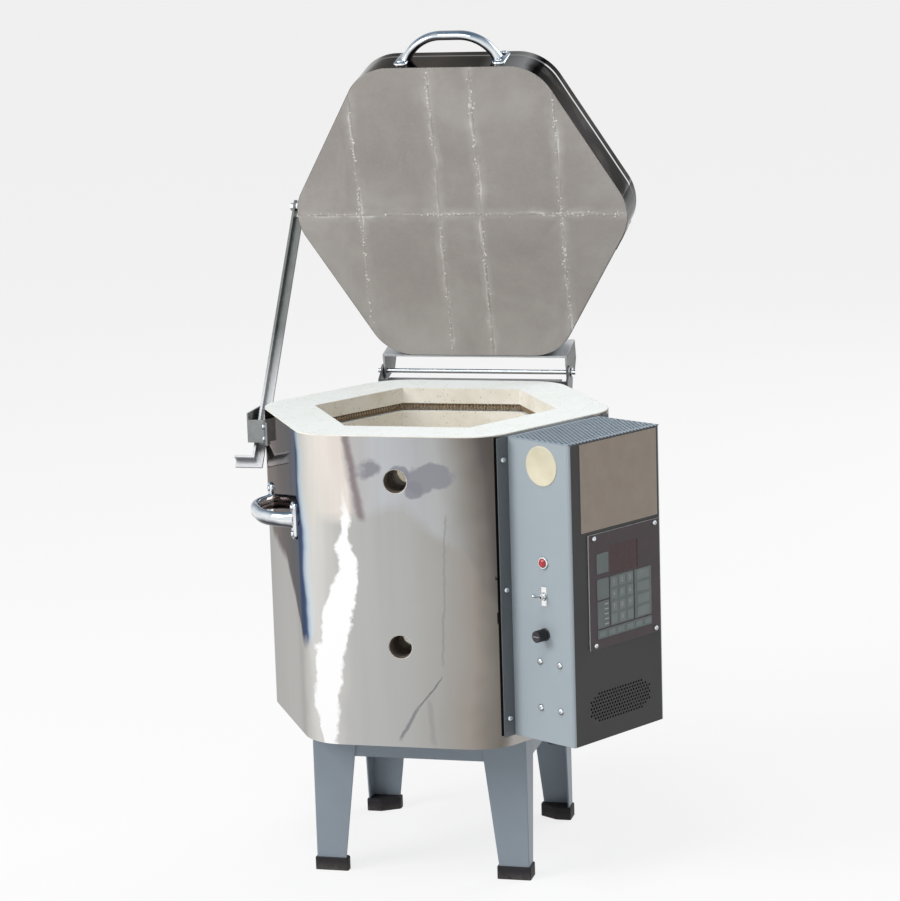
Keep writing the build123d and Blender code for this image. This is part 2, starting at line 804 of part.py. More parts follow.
def transformer():
    """The controller's small transformer on the back plate."""
    body = bar(8, 62, -352, -308, box_sheet, box_sheet + 20)
    body += bar(16, 54, -360, -300, box_sheet + 5, box_sheet + 34)
    body += bar(2, 68, -338, -322, box_sheet, box_sheet + 1.5)
    return box_frame * body


def terminal_strip():
    """The mains terminal strip above the cord's entry."""
    body = bar(-66, -22, -352, -330, box_sheet, box_sheet + 14)
    for step in range(4):
        x = -60.5 + step * 11
        body -= bar(x - 4, x + 4, -349, -333, box_sheet + 9, box_sheet + 20)
        body += Pos(x, -341, box_sheet + 9) * pin(2.8, 2, sides=6)
    return box_frame * body


def cord_gland():
    """The clamp bush in the bottom of the box, ready for a supply cord."""
    body = pin(14, 3) + Pos(0, 0, 3) * pin(12.5, 9, sides=6)
    body += pin(9.8, -box_sheet)
    body += Pos(0, 0, -box_sheet - 4) * pin(13, 4, sides=6)
    body -= Cylinder(6.5, 60)
    return cord_place * body


save("box_back", [box_frame * box_back()])
save("box_cover", [box_cover()])
save("box_top_vent", [box_frame * box_top_vent()])
save("controller_plate", [box_frame * controller_plate()])
save("display_window", [box_frame * display_window()])
save("keypad", [box_frame * key for key in keypad()])
save("controller_board", [box_frame * controller_board()])
save("controller_screws", controller_screws())
save("pilot_lamp_body", [lamp_body()])
save("pilot_lamp_lens", [lamp_lens()])
save("toggle_body", [toggle_body()])
save("toggle_lever", [toggle_lever()])
save("fuse_body", [fuse_body()])
save("fuse_cap", [fuse_cap()])
save("power_relay", [relay()])
save("relay_screws", screws_at(side_place(*relay_centre), relay_points, 0, 10))
save("transformer", [transformer()])
save("terminal_strip", [terminal_strip()])
save("cord_gland", [cord_gland()])


# Screws into the jacket, and the holes that they need
def corner_seats():
    """Where two screws hold the guide's front foot on the rounded corner."""
    centre = -(body_across - 2 * corner_radius) / root3
    turn = radians(202)
    reach = corner_radius + guide_sheet
    for height in (-8, 8):
        origin = (centre + reach * cos(turn), reach * sin(turn), rim + guide_height + height)
        yield Plane(origin=origin, z_dir=(cos(turn), sin(turn), 0)).location


def jacket_screws():
    """Screws of the handles, the hinge, the box, the guide and the seam."""
    screws = []
    for angle in (210, 30):
        screws += screws_at(flat_frame(angle, flat_out, rim - handle_drop), handle_screw_points(), 3, 14)
    hinge_points = [(x, y) for x in (-100, 0, 100) for y in (-22, -45)]
    screws += screws_at(flat_frame(90, flat_out, rim), hinge_points, hinge_sheet, 12)
    screws += screws_at(box_frame, flange_points, box_sheet, 12)
    seam_points = [(-60, slab_bottom + 40 + 77 * step) for step in range(5)]
    screws += screws_at(flat_frame(150), seam_points, jacket_sheet, 10)
    screws += screws_at(flat_frame(150, flat_out, rim + guide_height), [(65, -8), (65, 8)], guide_sheet, 10)
    for seat in corner_seats():
        screws += screws_at(seat, [(0, 0)], 0, 10)
    return screws


save("jacket_screws", jacket_screws())
seat_screws("jacket_screws", "jacket", "hinge_base", "prop_bracket", "box_back", "floor_slab", "wall_course_top",
            "wall_course_middle", "wall_course_bottom")

# The whole kiln stands centred on the origin, at the height of its feet
everything = Compound([solid for solids in placed.values() for solid in solids])
box = everything.bounding_box()
shift = Pos(-(box.min.X + box.max.X) / 2, -(box.min.Y + box.max.Y) / 2, 0)
print("shift", -(box.min.X + box.max.X) / 2, -(box.min.Y + box.max.Y) / 2, "lowest", box.min.Z)
for name, solids in placed.items():
    moved = [shift * solid for solid in solids]
    export_step(moved[0] if len(moved) == 1 else Compound(moved), f"parts/{name}.step")
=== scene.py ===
import json
import math
import random

import bmesh
import bpy
from mathutils import Matrix, Vector


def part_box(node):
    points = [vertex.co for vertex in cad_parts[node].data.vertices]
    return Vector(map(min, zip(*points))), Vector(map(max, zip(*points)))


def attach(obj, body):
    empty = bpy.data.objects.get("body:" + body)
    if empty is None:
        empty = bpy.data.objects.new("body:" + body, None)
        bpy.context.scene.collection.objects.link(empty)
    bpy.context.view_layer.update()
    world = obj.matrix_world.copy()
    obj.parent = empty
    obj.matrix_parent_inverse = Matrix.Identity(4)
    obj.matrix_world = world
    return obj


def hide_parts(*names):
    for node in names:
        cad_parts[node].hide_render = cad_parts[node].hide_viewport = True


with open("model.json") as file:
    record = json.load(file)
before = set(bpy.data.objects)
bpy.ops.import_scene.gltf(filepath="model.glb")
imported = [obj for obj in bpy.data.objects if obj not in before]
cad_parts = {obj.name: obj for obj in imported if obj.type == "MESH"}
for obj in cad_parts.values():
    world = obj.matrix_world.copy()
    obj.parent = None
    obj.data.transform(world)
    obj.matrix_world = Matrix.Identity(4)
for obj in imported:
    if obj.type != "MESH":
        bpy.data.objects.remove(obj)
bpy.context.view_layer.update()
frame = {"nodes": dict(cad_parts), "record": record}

nodes = frame["nodes"]
scene = bpy.context.scene
print("frame loaded:", len(nodes), "nodes")

# the kiln's own measures, in metres, counted from the chamber's axis and the rim
jacketLow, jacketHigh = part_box("jacket")
kiln = {
    "axis": Vector(((jacketLow.x + jacketHigh.x) / 2, (jacketLow.y + jacketHigh.y) / 2, 0)),
    "rim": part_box("wall_course_top")[1].z,
    "across": 0.4116,          # jacket, flat to flat
    "corner": 0.064,           # radius of its upright corners
    "chamber": 0.2794,         # firing chamber, flat to flat
    "course": 0.1143,          # height of one course of bricks
    "lidAcross": 0.410,
    "lidThick": 0.0635,
    "lidGap": 0.0005,
    "channelUp": 0.031,        # middle of the hinge channel above the lid's underside
    "openAngle": 75.8,         # degrees that the lid stands open
    "hingeBack": 0.2313,       # hinge rod behind the axis
    "hingeUp": 0.008,          # hinge rod above the rim
    "boxFlat": -30,            # degrees to the flat that carries the control box
}
cornerReach = 2 / math.sqrt(3)   # from a hexagon's middle to its corner, where a flat is 1 away
upright = Vector((0, 0, 1))
bothWays = (-1, 1)


def polar(angle, length=1.0):
    # a level vector, from its angle in degrees
    turn = math.radians(angle)
    return Vector((math.cos(turn), math.sin(turn), 0)) * length


def frameOf(across, up, out, place):
    # a frame, from the ways that its three axes point and its own place
    return Matrix((*zip(across, up, out, place), (0, 0, 0, 1)))


def flatFrame(angle, out=kiln["across"] / 2, up=0.0):
    # a frame on one flat: X along it, Y up, Z outward; up counts from the rim
    place = kiln["axis"] + polar(angle, out) + upright * (kiln["rim"] + up)
    return frameOf(polar(angle + 90), upright, polar(angle), place)


def at(x, y, z=0.0):
    return Matrix.Translation((x, y, z))


def both(value):
    return (-value, value)


# carries a point drawn on the closed lid to where the open lid has it
hinge = kiln["axis"] + Vector((0, kiln["hingeBack"], kiln["rim"] + kiln["hingeUp"]))
lidTurn = Matrix.Rotation(math.radians(-kiln["openAngle"]), 4, "X")
lidOpen = Matrix.Translation(hinge) @ lidTurn @ Matrix.Translation(-hinge)
boxFrame = flatFrame(kiln["boxFlat"])

# the controller's plate on the face of the control box, in the box's frame
panel = {"middle": (0.013, -0.1935), "back": 0.1012, "front": 0.1028, "inner": 0.058}


def meshFrom(bm, name):
    mesh = bpy.data.meshes.new(name)
    bmesh.ops.recalc_face_normals(bm, faces=bm.faces)
    bm.to_mesh(mesh)
    bm.free()
    return mesh


def meshOf(holder):
    # the finished mesh of a curve or of an object with modifiers, whose holder is then removed
    scene.collection.objects.link(holder)
    graph = bpy.context.evaluated_depsgraph_get()
    mesh = bpy.data.meshes.new_from_object(holder.evaluated_get(graph))
    bpy.data.objects.remove(holder)
    return mesh


def addPiece(name, shape, body, slot, node=None, finish=None, smooth=30, place=Matrix()):
    # a piece of the scene on its body, in its slot's finish or its own, for the node it stands for
    mesh = meshFrom(shape, name) if isinstance(shape, bmesh.types.BMesh) else shape
    mesh.transform(place)
    piece = bpy.data.objects.new(name, mesh)
    scene.collection.objects.link(piece)
    mesh.materials.clear()
    mesh.materials.append(finish or finishes[slot])
    if smooth:
        mesh.shade_smooth()
        mesh.set_sharp_from_angle(angle=math.radians(smooth))
    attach(piece, body)
    if node:
        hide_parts(node)


# what every material is made with
def addNode(tree, kind, values=None, **settings):
    node = tree.nodes.new(kind)
    for key, value in settings.items():
        setattr(node, key, value)
    for key, value in (values or {}).items():
        plug(tree, value, node.inputs[key])
    return node


def plug(tree, value, socket):
    # a field is linked to the socket, a number or colour is set on it
    if isinstance(value, Field):
        tree.links.new(value.socket, socket)
    elif socket.type == "RGBA":
        socket.default_value = (*value, 1)
    else:
        socket.default_value = value


class Field:
    # what a node gives out over a surface; arithmetic on it adds the nodes that it takes
    def __init__(self, tree, kind, output=0, values=None, **settings):
        self.tree = tree
        self.node = addNode(tree, kind, values, **settings)
        self.socket = self.node.outputs[output]

    def math(self, operation, *others):
        values = dict(enumerate((self, *others)))
        return Field(self.tree, "ShaderNodeMath", 0, values, operation=operation)

    def __add__(self, other):
        return self.math("ADD", other)

    def __sub__(self, other):
        return self.math("SUBTRACT", other)

    def __rsub__(self, other):
        return self * -1.0 + other

    def __mul__(self, other):
        return self.math("MULTIPLY", other)

    def __truediv__(self, other):
        return self.math("DIVIDE", other)

    def __abs__(self):
        return self.math("ABSOLUTE")

    def spread(self, low, high, fromLow=0.3, fromHigh=0.7):
        # runs from low to high as this field goes from fromLow to fromHigh, and stays there beyond
        values = {"Value": self, "From Min": fromLow, "From Max": fromHigh, "To Min": low, "To Max": high}
        return Field(self.tree, "ShaderNodeMapRange", "Result", values)

    def mix(self, first, second):
        # the first colour where this field is 0, the second where it is 1
        return Field(self.tree, "ShaderNodeMix", 2, {0: self, 6: first, 7: second}, data_type="RGBA")

    def ramp(self, stops):
        result = Field(self.tree, "ShaderNodeValToRGB", "Color", {"Fac": self})
        elements = result.node.color_ramp.elements
        while len(elements) < len(stops):
            elements.new(0.5)
        for element, (position, colour) in zip(elements, stops):
            element.position = position
            element.color = (*colour, 1)
        return result

    def axis(self, letter):
        return Field(self.tree, "ShaderNodeSeparateXYZ", letter, {"Vector": self})

    def mapped(self, **how):
        return Field(self.tree, "ShaderNodeMapping", "Vector", {"Vector": self, **how})

    def noise(self, scale, detail=4.0, rough=0.55, distortion=0.0):
        values = {"Vector": self, "Scale": scale, "Detail": detail, "Roughness": rough,
                  "Distortion": distortion}
        return Field(self.tree, "ShaderNodeTexNoise", "Fac", values)

    def cells(self, scale, output):
        return Field(self.tree, "ShaderNodeTexVoronoi", output, {"Vector": self, "Scale": scale})


class Finish:
    # a material being made: its shader, and the place that its patterns are read at
    def __init__(self, name, metallic=0.0, roughness=0.5, specular=0.5, coat=0.0, coatRough=0.1):
        self.material = bpy.data.materials.new(name)
        self.material.use_nodes = True
        self.tree = self.material.node_tree
        self.shader = self.tree.nodes["Principled BSDF"]
        self.place = Field(self.tree, "ShaderNodeTexCoord", "Object")
        self.set({"Metallic": metallic, "Roughness": roughness, "Specular IOR Level": specular,
                  "Coat Weight": coat, "Coat Roughness": coatRough})

    def set(self, values):
        for key, value in values.items():
            plug(self.tree, value, self.shader.inputs[key])

    def normal(self):
        return Field(self.tree, "ShaderNodeNewGeometry", "Normal")

    def edges(self, radius):
        # the small radius that a folded, cut or moulded edge has
        return Field(self.tree, "ShaderNodeBevel", "Normal", {"Radius": radius}, samples=4)

    def bump(self, height, strength, distance, base=None):
        values = {"Height": height, "Strength": strength, "Distance": distance}
        if base is not None:
            values["Normal"] = base
        normal = Field(self.tree, "ShaderNodeBump", "Normal", values)
        self.set({"Normal": normal})
        return normal


def srgb(red, green, blue):
    # a colour read as 0..255, as linear light
    def linear(value):
        value /= 255
        return value / 12.92 if value <= 0.04045 else ((value + 0.055) / 1.055) ** 2.4
    return (linear(red), linear(green), linear(blue))


def hypotenuse(x, y):
    return (x * x + y * y).math("SQRT")


def onClosedLid(place):
    # where a point of the open lid lies when the lid is closed
    inverse = lidOpen.inverted()
    return place.mapped(Rotation=inverse.to_euler(), Location=inverse.translation)


def aroundAxis(place, lean=0):
    # the turn round the chamber's axis, 0..1 from the left corner, the depth below the rim, the way across
    x = place.axis("X") - kiln["axis"].x
    y = place.axis("Y") - kiln["axis"].y
    depth = kiln["rim"] - place.axis("Z")
    wobble = place.noise(7.0, 3.0, 0.6).spread(-0.006, 0.006)
    turn = y.math("ARCTAN2", x) * (0.5 / math.pi) + 0.5 + wobble
    return turn - depth * (lean / 360), depth, x


def degreeStops(stops):
    # stops by degrees, from -180 to 180, as stops for aroundAxis
    return [((degrees + 180) / 360, srgb(*colour)) for degrees, colour in stops]


# finishes
jacketLook = {
    # painted reflection: what the mirror polish shows near the rim and near the floor, by degrees round the
    # axis
    "high": [
        (-180, (146, 134, 128)), (-164, (140, 126, 120)), (-154, (112, 100, 98)), (-144, (94, 86, 88)),
        (-136, (82, 84, 96)), (-132, (76, 90, 118)), (-129.5, (62, 82, 122)), (-127.5, (206, 221, 232)),
        (-124, (217, 214, 208)), (-114, (238, 230, 222)), (-109.5, (234, 225, 217)),
        (-108, (190, 186, 184)), (-96, (191, 194, 198)), (-87, (183, 184, 188)), (-77, (177, 179, 178)),
        (-67, (133, 127, 121)), (-62, (98, 93, 90)), (-57, (86, 80, 76)), (-54, (160, 156, 152)),
        (-20, (196, 195, 192)), (-3, (104, 98, 95)), (1, (226, 224, 220)), (28, (184, 186, 189)),
        (56, (92, 88, 87)), (61, (222, 220, 217)), (92, (178, 181, 186)), (117, (104, 98, 95)),
        (121, (220, 218, 215)), (150, (182, 181, 178)), (180, (146, 134, 128)),
    ],
    "low": [
        (-180, (226, 224, 220)), (-150, (238, 234, 230)), (-136, (236, 233, 229)),
        (-130, (222, 220, 216)), (-124, (204, 202, 198)), (-119, (216, 214, 210)),
        (-113, (204, 202, 199)), (-108, (186, 186, 184)), (-95, (180, 180, 178)), (-86, (175, 175, 173)),
        (-76, (166, 165, 161)), (-66, (155, 148, 141)), (-61, (126, 120, 113)), (-57, (112, 106, 100)),
        (-54, (164, 160, 156)), (-20, (184, 183, 180)), (-2, (150, 146, 142)), (4, (206, 204, 200)),
        (40, (178, 178, 176)), (59, (142, 138, 134)), (64, (204, 202, 198)), (100, (180, 180, 178)),
        (119, (146, 142, 138)), (126, (206, 204, 200)), (180, (210, 207, 203)),
    ],
    # how deep the upper picture reaches, by degrees, as a share of half a metre
    "reach": [
        (-180, 0.28), (-166, 0.31), (-151, 0.34), (-140, 0.43), (-134, 0.54), (-126, 0.54), (-122, 0.2),
        (-109, 0.2), (-90, 0.16), (-70, 0.3), (-60, 0.5), (0, 0.3), (60, 0.5), (90, 0.25), (120, 0.5),
        (180, 0.28),
    ],
    "lean": 24,                       # degrees that the bands drift for each metre of depth
    "tint": (0.5, 0.5, 0.5),          # keeps the steel from going white at a grazing angle
    # colour of the painted reflection's long upright veils
    "veil": (150, 147, 144),
    "frontEnds": (0.36, 0.37),        # the turn past which the front flat's marks stop
    # the painted white highlight: across at two depths, and the half width as it opens and as it closes again
    "highlightStreak": {"x": (-0.067, -0.097), "depths": (0.17, 0.30), "opens": (0.001, 0.0185, 0.07, 0.22),
               "closes": (0.0215, 0.009, 0.305, 0.392), "soft": 0.0018, "starts": (0.06, 0.10)},
    # darker cloudy blots on the front flat
    "blotTone": (138, 138, 146),
    # cloudy blots: across, depth, half width, half height
    "cloudBlots": [(-0.030, 0.044, 0.030, 0.020), (0.004, 0.046, 0.016, 0.012), (0.044, 0.054, 0.040, 0.018),
                (0.022, 0.068, 0.014, 0.010)],
    # straight marks: across and depth of both ends, half width, colour and strength
    "marks": [(-0.0625, -0.01, -0.045, 0.106, 0.0042, (126, 112, 116), 0.75),
              (0.063, 0.100, 0.054, 0.288, 0.0014, (146, 144, 144), 0.6),
              (0.052, 0.305, 0.020, 0.345, 0.0012, (96, 96, 102), 0.7),
              (0.020, 0.345, -0.004, 0.386, 0.0022, (110, 110, 116), 0.7),
              (0.034, 0.335, 0.040, 0.392, 0.0030, (150, 146, 146), 0.5)],
    "markFade": 0.004,                # depth over which a mark comes and goes
}


def bandEdge(distance, half, soft):
    # one inside a band, nothing outside it
    return (half - distance).spread(0.0, 1.0, -soft, soft)


def jacketSheet(name, look):
    # mirror polished stainless steel, with a painted reflection of a room's soft bands in its colour
    sheet = Finish(name, metallic=1.0)
    place = sheet.place
    turn, depth, x = aroundAxis(place, look["lean"])
    straightTurn = turn + depth * (look["lean"] / 360)
    high = turn.ramp(degreeStops(look["high"]))
    low = straightTurn.ramp(degreeStops(look["low"]))
    reach = turn.ramp([((degrees + 180) / 360, (share,) * 3) for degrees, share in look["reach"]])
    wave = place.noise(11.0, 3.0, 0.6, 0.5).spread(-0.012, 0.012)
    body = (depth - reach * 0.5 + wave).spread(0.0, 1.0, -0.009, 0.009).mix(high, low)
    # painted reflection of long upright veils, as a rolled sheet mirrors them
    veil = place.mapped(Scale=(1.0, 1.0, 0.06)).noise(26.0, 3.0, 0.6)
    body = veil.spread(0.0, 0.16, 0.5, 0.72).mix(body, srgb(*look["veil"]))
    front = turn.spread(1.0, 0.0, *look["frontEnds"])
    curl = place.noise(24.0, 3.0, 0.55).spread(-0.3, 0.7)
    for middleX, middleDepth, halfWide, halfTall in look["cloudBlots"]:
        away = hypotenuse((x - middleX) / halfWide, (depth - middleDepth) / halfTall)
        blot = (away + curl).spread(0.85, 0.0, 0.80, 1.06)
        body = (blot * front).mix(body, srgb(*look["blotTone"]))
    ragged = x + place.noise(30.0, 3.0, 0.6).spread(-0.0025, 0.0025)
    fade = look["markFade"]
    for topX, topDepth, lowX, lowDepth, half, colour, strength in look["marks"]:
        away = abs(ragged - depth.spread(topX, lowX, topDepth, lowDepth))
        mark = bandEdge(away, half, half * 0.6) * front
        mark *= depth.spread(0.0, strength, topDepth - fade, topDepth + fade)
        mark *= depth.spread(1.0, 0.0, lowDepth - fade, lowDepth + fade)
        body = mark.mix(body, srgb(*colour))
    # painted highlight: a white band down the corner of the front flat
    highlightStreak = look["highlightStreak"]
    ragged = x + place.noise(27.0, 4.0, 0.6).spread(-0.0065, 0.0065)
    away = abs(ragged - depth.spread(*highlightStreak["x"], *highlightStreak["depths"]))
    half = depth.spread(*highlightStreak["opens"]).math("MINIMUM", depth.spread(*highlightStreak["closes"]))
    shine = bandEdge(away, half, highlightStreak["soft"]) * front * depth.spread(0.0, 1.0, *highlightStreak["starts"])
    rough = place.noise(60.0, 5.0, 0.65).spread(0.045, 0.12, 0.45, 0.8)
    body = shine.mix(body, (1.0, 1.0, 1.0))
    sheet.set({"Base Color": body, "Roughness": rough, "Specular Tint": look["tint"]})
    ripple = sheet.bump(place.mapped(Scale=(7.0, 7.0, 1.6)).noise(1.0, 2.0, 0.45), 1.0, 0.0006)
    sheet.bump(place.mapped(Scale=(1.0, 1.0, 90.0)).noise(14.0, 2.0), 0.1, 0.00003, ripple)
    return sheet.material


bandLook = {
    # painted reflection: the lid's band mirrors the dark end of the room, with thin painted highlight lines
    # at its corners
    "stops": [
        (-180, (60, 60, 62)), (-152, (96, 96, 98)), (-128, (40, 40, 43)), (-121, (206, 208, 210)),
        (-118, (66, 64, 66)), (-96, (84, 80, 78)), (-78, (58, 56, 57)), (-63, (150, 152, 154)),
        (-60, (34, 34, 37)), (-34, (48, 47, 50)), (-8, (38, 38, 41)), (0, (178, 180, 182)),
        (5, (44, 44, 47)), (30, (52, 52, 55)), (54, (40, 40, 43)), (60, (196, 198, 200)),
        (65, (60, 60, 62)), (92, (92, 92, 94)), (116, (50, 50, 53)), (121, (190, 192, 194)),
        (126, (58, 58, 60)), (180, (60, 60, 62)),
    ],
    "tint": (0.43, 0.43, 0.42),
    # veil and line: colours of a painted reflection and a painted highlight
    "veil": (110, 108, 108),
    "line": (170, 172, 174),
    "lineUp": 0.048,                  # the painted highlight line above the rim, on the closed lid
}


def bandSheet(name, look):
    # mirror polished steel, its colour a painted reflection of a dark room with a painted highlight line
    sheet = Finish(name, metallic=1.0)
    place = onClosedLid(sheet.place)
    turn, depth = aroundAxis(place)[:2]
    veil = sheet.place.mapped(Scale=(1.0, 1.0, 0.3)).noise(34.0, 3.0, 0.6).spread(0.0, 0.16, 0.5, 0.75)
    body = veil.mix(turn.ramp(degreeStops(look["stops"])), srgb(*look["veil"]))
    wander = depth + place.noise(9.0, 2.0).spread(-0.0007, 0.0007)
    body = abs(wander + look["lineUp"]).spread(0.75, 0.0, 0.0008, 0.0030).mix(body, srgb(*look["line"]))
    rough = place.noise(60.0, 5.0).spread(0.05, 0.14, 0.45, 0.8)
    sheet.set({"Base Color": body, "Roughness": rough, "Specular Tint": look["tint"]})
    sheet.bump(place.noise(9.0, 2.0), 1.0, 0.0005)
    return sheet.material


brickLook = {
    "rimColour": srgb(242, 247, 246),
    "wallColour": srgb(253, 249, 238),
    "fleck": srgb(206, 192, 166),
    "dot": srgb(176, 164, 140),
    "grain": 420.0,
    "grainDepth": 0.0006,
    "bore": 0.0147,                # radius of the peepholes, for the painted shade in them
    "boreDepths": (0.057, 0.267),  # their middles below the rim
    "boreShade": srgb(92, 80, 70),
}


def wallBrick(name, look, bored=False):
    # light firebrick: coated white on the top face, its cool white and fewer flecks there partly painted
    # light from above, cream inside, with flecks and open pores
    brick = Finish(name, roughness=0.95, specular=0.2)
    place = brick.place
    cloud = place.noise(22.0, 5.0, 0.6)
    topFace = brick.normal().axis("Z").spread(0.0, 1.0, 0.55, 0.85)
    body = topFace.mix(look["wallColour"], look["rimColour"])
    flecks = cloud.spread(0.0, 0.34, 0.42, 0.75) * (topFace * -0.7 + 1.0)
    body = flecks.mix(body, look["fleck"])
    dots = place.cells(300.0, "Distance").spread(1.0, 0.0, 0.14, 0.30)
    dots *= place.noise(130.0, 2.0).spread(0.0, 0.8, 0.50, 0.60)
    body = dots.mix(body, look["dot"])
    if bored:
        depth, x = aroundAxis(place)[1:]
        # painted shade inside the peephole bores
        for boreDepth in look["boreDepths"]:
            inside = hypotenuse(x, depth - boreDepth).spread(1.0, 0.0, look["bore"], look["bore"] + 0.0003)
            body = (inside * cloud.spread(0.75, 1.0)).mix(body, look["boreShade"])
    brick.set({"Base Color": body})
    pores = place.noise(look["grain"], 6.0, 0.7) - dots * 0.6
    brick.bump(pores, 0.7, look["grainDepth"], brick.edges(0.0012))
    return brick.material


lidLook = {
    # the grey tones are painted shade on the light lid bricks
    "colour": srgb(160, 155, 150),
    "pale": srgb(176, 172, 168),
    "dark": srgb(150, 145, 140),
    "cement": srgb(232, 231, 229),
    "seams": (-0.138, -0.0285, 0.0285, 0.138),   # the four seams that cross the one along X
}


def lidBrick(name, look):
    # fired lid bricks: grey from painted shade, cloudy, dusted pale along the cemented seams
    brick = Finish(name, roughness=0.93, specular=0.2)
    place = brick.place
    tones = [(0.30, look["dark"]), (0.5, look["colour"]), (0.74, look["pale"])]
    body = place.noise(8.0, 6.0, 0.62, 0.3).ramp(tones)
    closed = onClosedLid(place)
    wander = place.noise(12.0, 3.0).spread(-0.005, 0.005)
    offsets = [closed.axis("X") - (kiln["axis"].x + seam) for seam in look["seams"]]
    offsets.append(closed.axis("Y") - kiln["axis"].y)
    dust = None
    for offset in offsets:
        near = abs(offset + wander)
        band = near.spread(0.34, 0.0, 0.002, 0.011).math("MAXIMUM", near.spread(0.9, 0.0, 0.0008, 0.0026))
        dust = band if dust is None else dust.math("MAXIMUM", band)
    dust = dust * place.noise(20.0, 5.0, 0.7).spread(0.12, 1.0, 0.42, 0.68) * 0.85
    body = dust.mix(body, look["cement"])
    smear = place.mapped(Scale=(1.0, 1.0, 0.35)).noise(24.0, 6.0, 0.7, 0.6).spread(0.0, 0.4, 0.56, 0.74)
    grit = place.noise(330.0, 4.0, 0.7).spread(0.0, 0.22, 0.45, 0.7)
    for veil in (smear, grit):
        body = veil.mix(body, look["pale"])
    brick.set({"Base Color": body})
    brick.bump(place.noise(380.0, 6.0, 0.7) + dust * 0.8, 0.55, 0.0005, brick.edges(0.002))
    return brick.material


def platedSteel(name, colour, shade, earReflection=None, low=None):
    # zinc plate: a faint spangle, duller where it is handled
    plate = Finish(name, metallic=0.9)
    place = plate.place
    body = place.cells(180.0, "Color").spread(0.0, 0.35, 0.0, 1.0).mix(colour, shade)
    cloud = place.noise(24.0, 5.0)
    body = cloud.spread(0.0, 0.6).mix(body, shade)
    if low:   # painted reflection: the lower end mirrors the pale floor
        depth = aroundAxis(place)[1]
        body = depth.spread(0.0, 1.0, -0.09, 0.0).mix(body, low)
    if earReflection:   # painted reflection: the two turned ends mirror the dark side of the room
        body = abs(plate.normal().axis("X")).spread(0.0, 1.0, 0.5, 0.8).mix(body, earReflection)
    plate.set({"Base Color": body, "Roughness": cloud.spread(0.28, 0.45)})
    plate.bump(place.noise(720.0, 4.0), 0.15, 0.0001, plate.edges(0.0006))
    return plate.material


# painted reflection: the tones that bright plating mirrors, from what faces the floor to what faces up
reflectedTones = [
    (0.0, (112, 114, 118)), (0.2, (82, 83, 88)), (0.32, (60, 61, 66)), (0.40, (172, 175, 180)),
    (0.50, (240, 242, 244)), (0.66, (214, 222, 228)), (0.78, (150, 163, 176)), (0.88, (92, 112, 132)),
    (1.0, (74, 92, 112)),
]


def brightMetal(name, warm=(1.0, 1.0, 1.0), lift=0.0, rough=(0.05, 0.13)):
    # chrome and bright plating, with a painted reflection of a dark line between floor and sky
    metal = Finish(name, metallic=1.0)
    place = metal.place
    sway = place.noise(30.0, 2.0).spread(-0.07, 0.07)
    level = metal.normal().axis("Z") * 0.5 + 0.5 + sway
    tones = []
    for position, colour in reflectedTones:
        raised = srgb(*(value + (255 - value) * lift for value in colour))
        tones.append((position, tuple(part * tint for part, tint in zip(raised, warm))))
    marks = place.noise(40.0, 5.0, 0.6, 0.6)
    body = marks.spread(0.0, 0.25, 0.5, 0.8).mix(level.ramp(tones), srgb(150, 150, 150))
    metal.set({"Base Color": body, "Roughness": marks.spread(*rough)})
    metal.bump(place.noise(500.0, 3.0), 0.05, 0.00005, metal.edges(0.0005))
    return metal.material


def paintedSteel(name, colour, wear, rough=(0.38, 0.52), texture=260.0):
    # sprayed enamel with a fine orange peel, rubbed a little along its clouds
    enamel = Finish(name, coat=0.12, coatRough=0.35)
    place = enamel.place
    cloud = place.noise(12.0, 6.0, 0.6, 0.2)
    body = cloud.spread(0.0, 0.35, 0.42, 0.75).mix(colour, wear)
    body = place.noise(900.0, 2.0).spread(0.0, 0.10, 0.5, 0.7).mix(body, wear)
    enamel.set({"Base Color": body, "Roughness": cloud.spread(*rough)})
    enamel.bump(place.noise(texture, 3.0), 0.25, 0.00012, enamel.edges(0.0012))
    return enamel.material


def mouldedPlastic(name, colour, shade, rough=(0.42, 0.6), texture=700.0, depth=0.00008, specular=0.45,
                   edge=None):
    plastic = Finish(name, specular=specular)
    place = plastic.place
    cloud = place.noise(45.0, 5.0)
    body = cloud.spread(0.0, 0.7).mix(colour, shade)
    if edge:   # the bare metal of the controller's plate shows at its narrow sides, painted bright as a highlight
        outward = {0: plastic.normal(), 1: boxFrame.col[2].to_3d()}
        facing = abs(Field(plastic.tree, "ShaderNodeVectorMath", "Value", outward, operation="DOT_PRODUCT"))
        apart = {0: place, 1: boxFrame @ Vector((*panel["middle"], panel["back"]))}
        away = Field(plastic.tree, "ShaderNodeVectorMath", "Value", apart, operation="DISTANCE")
        outer = away.spread(0.0, 1.0, panel["inner"], panel["inner"] + 0.002)
        body = (outer * facing.spread(1.0, 0.0, 0.3, 0.6)).mix(body, edge)
    plastic.set({"Base Color": body, "Roughness": cloud.spread(*rough)})
    plastic.bump(place.noise(texture, 3.0), 0.3, depth, plastic.edges(0.0005))
    return plastic.material


def rubberBoot(name):
    # black moulding gone grey with floor dust near the ground
    rubber = Finish(name, roughness=0.75, specular=0.3)
    place = rubber.place
    dust = place.axis("Z").spread(1.0, 0.0, 0.0, 0.012) * place.noise(120.0, 5.0).spread(0.1, 0.8)
    rubber.set({"Base Color": dust.mix(srgb(40, 38, 41), srgb(96, 92, 88))})
    rubber.bump(place.noise(800.0, 4.0), 0.4, 0.0001, rubber.edges(0.0008))
    return rubber.material


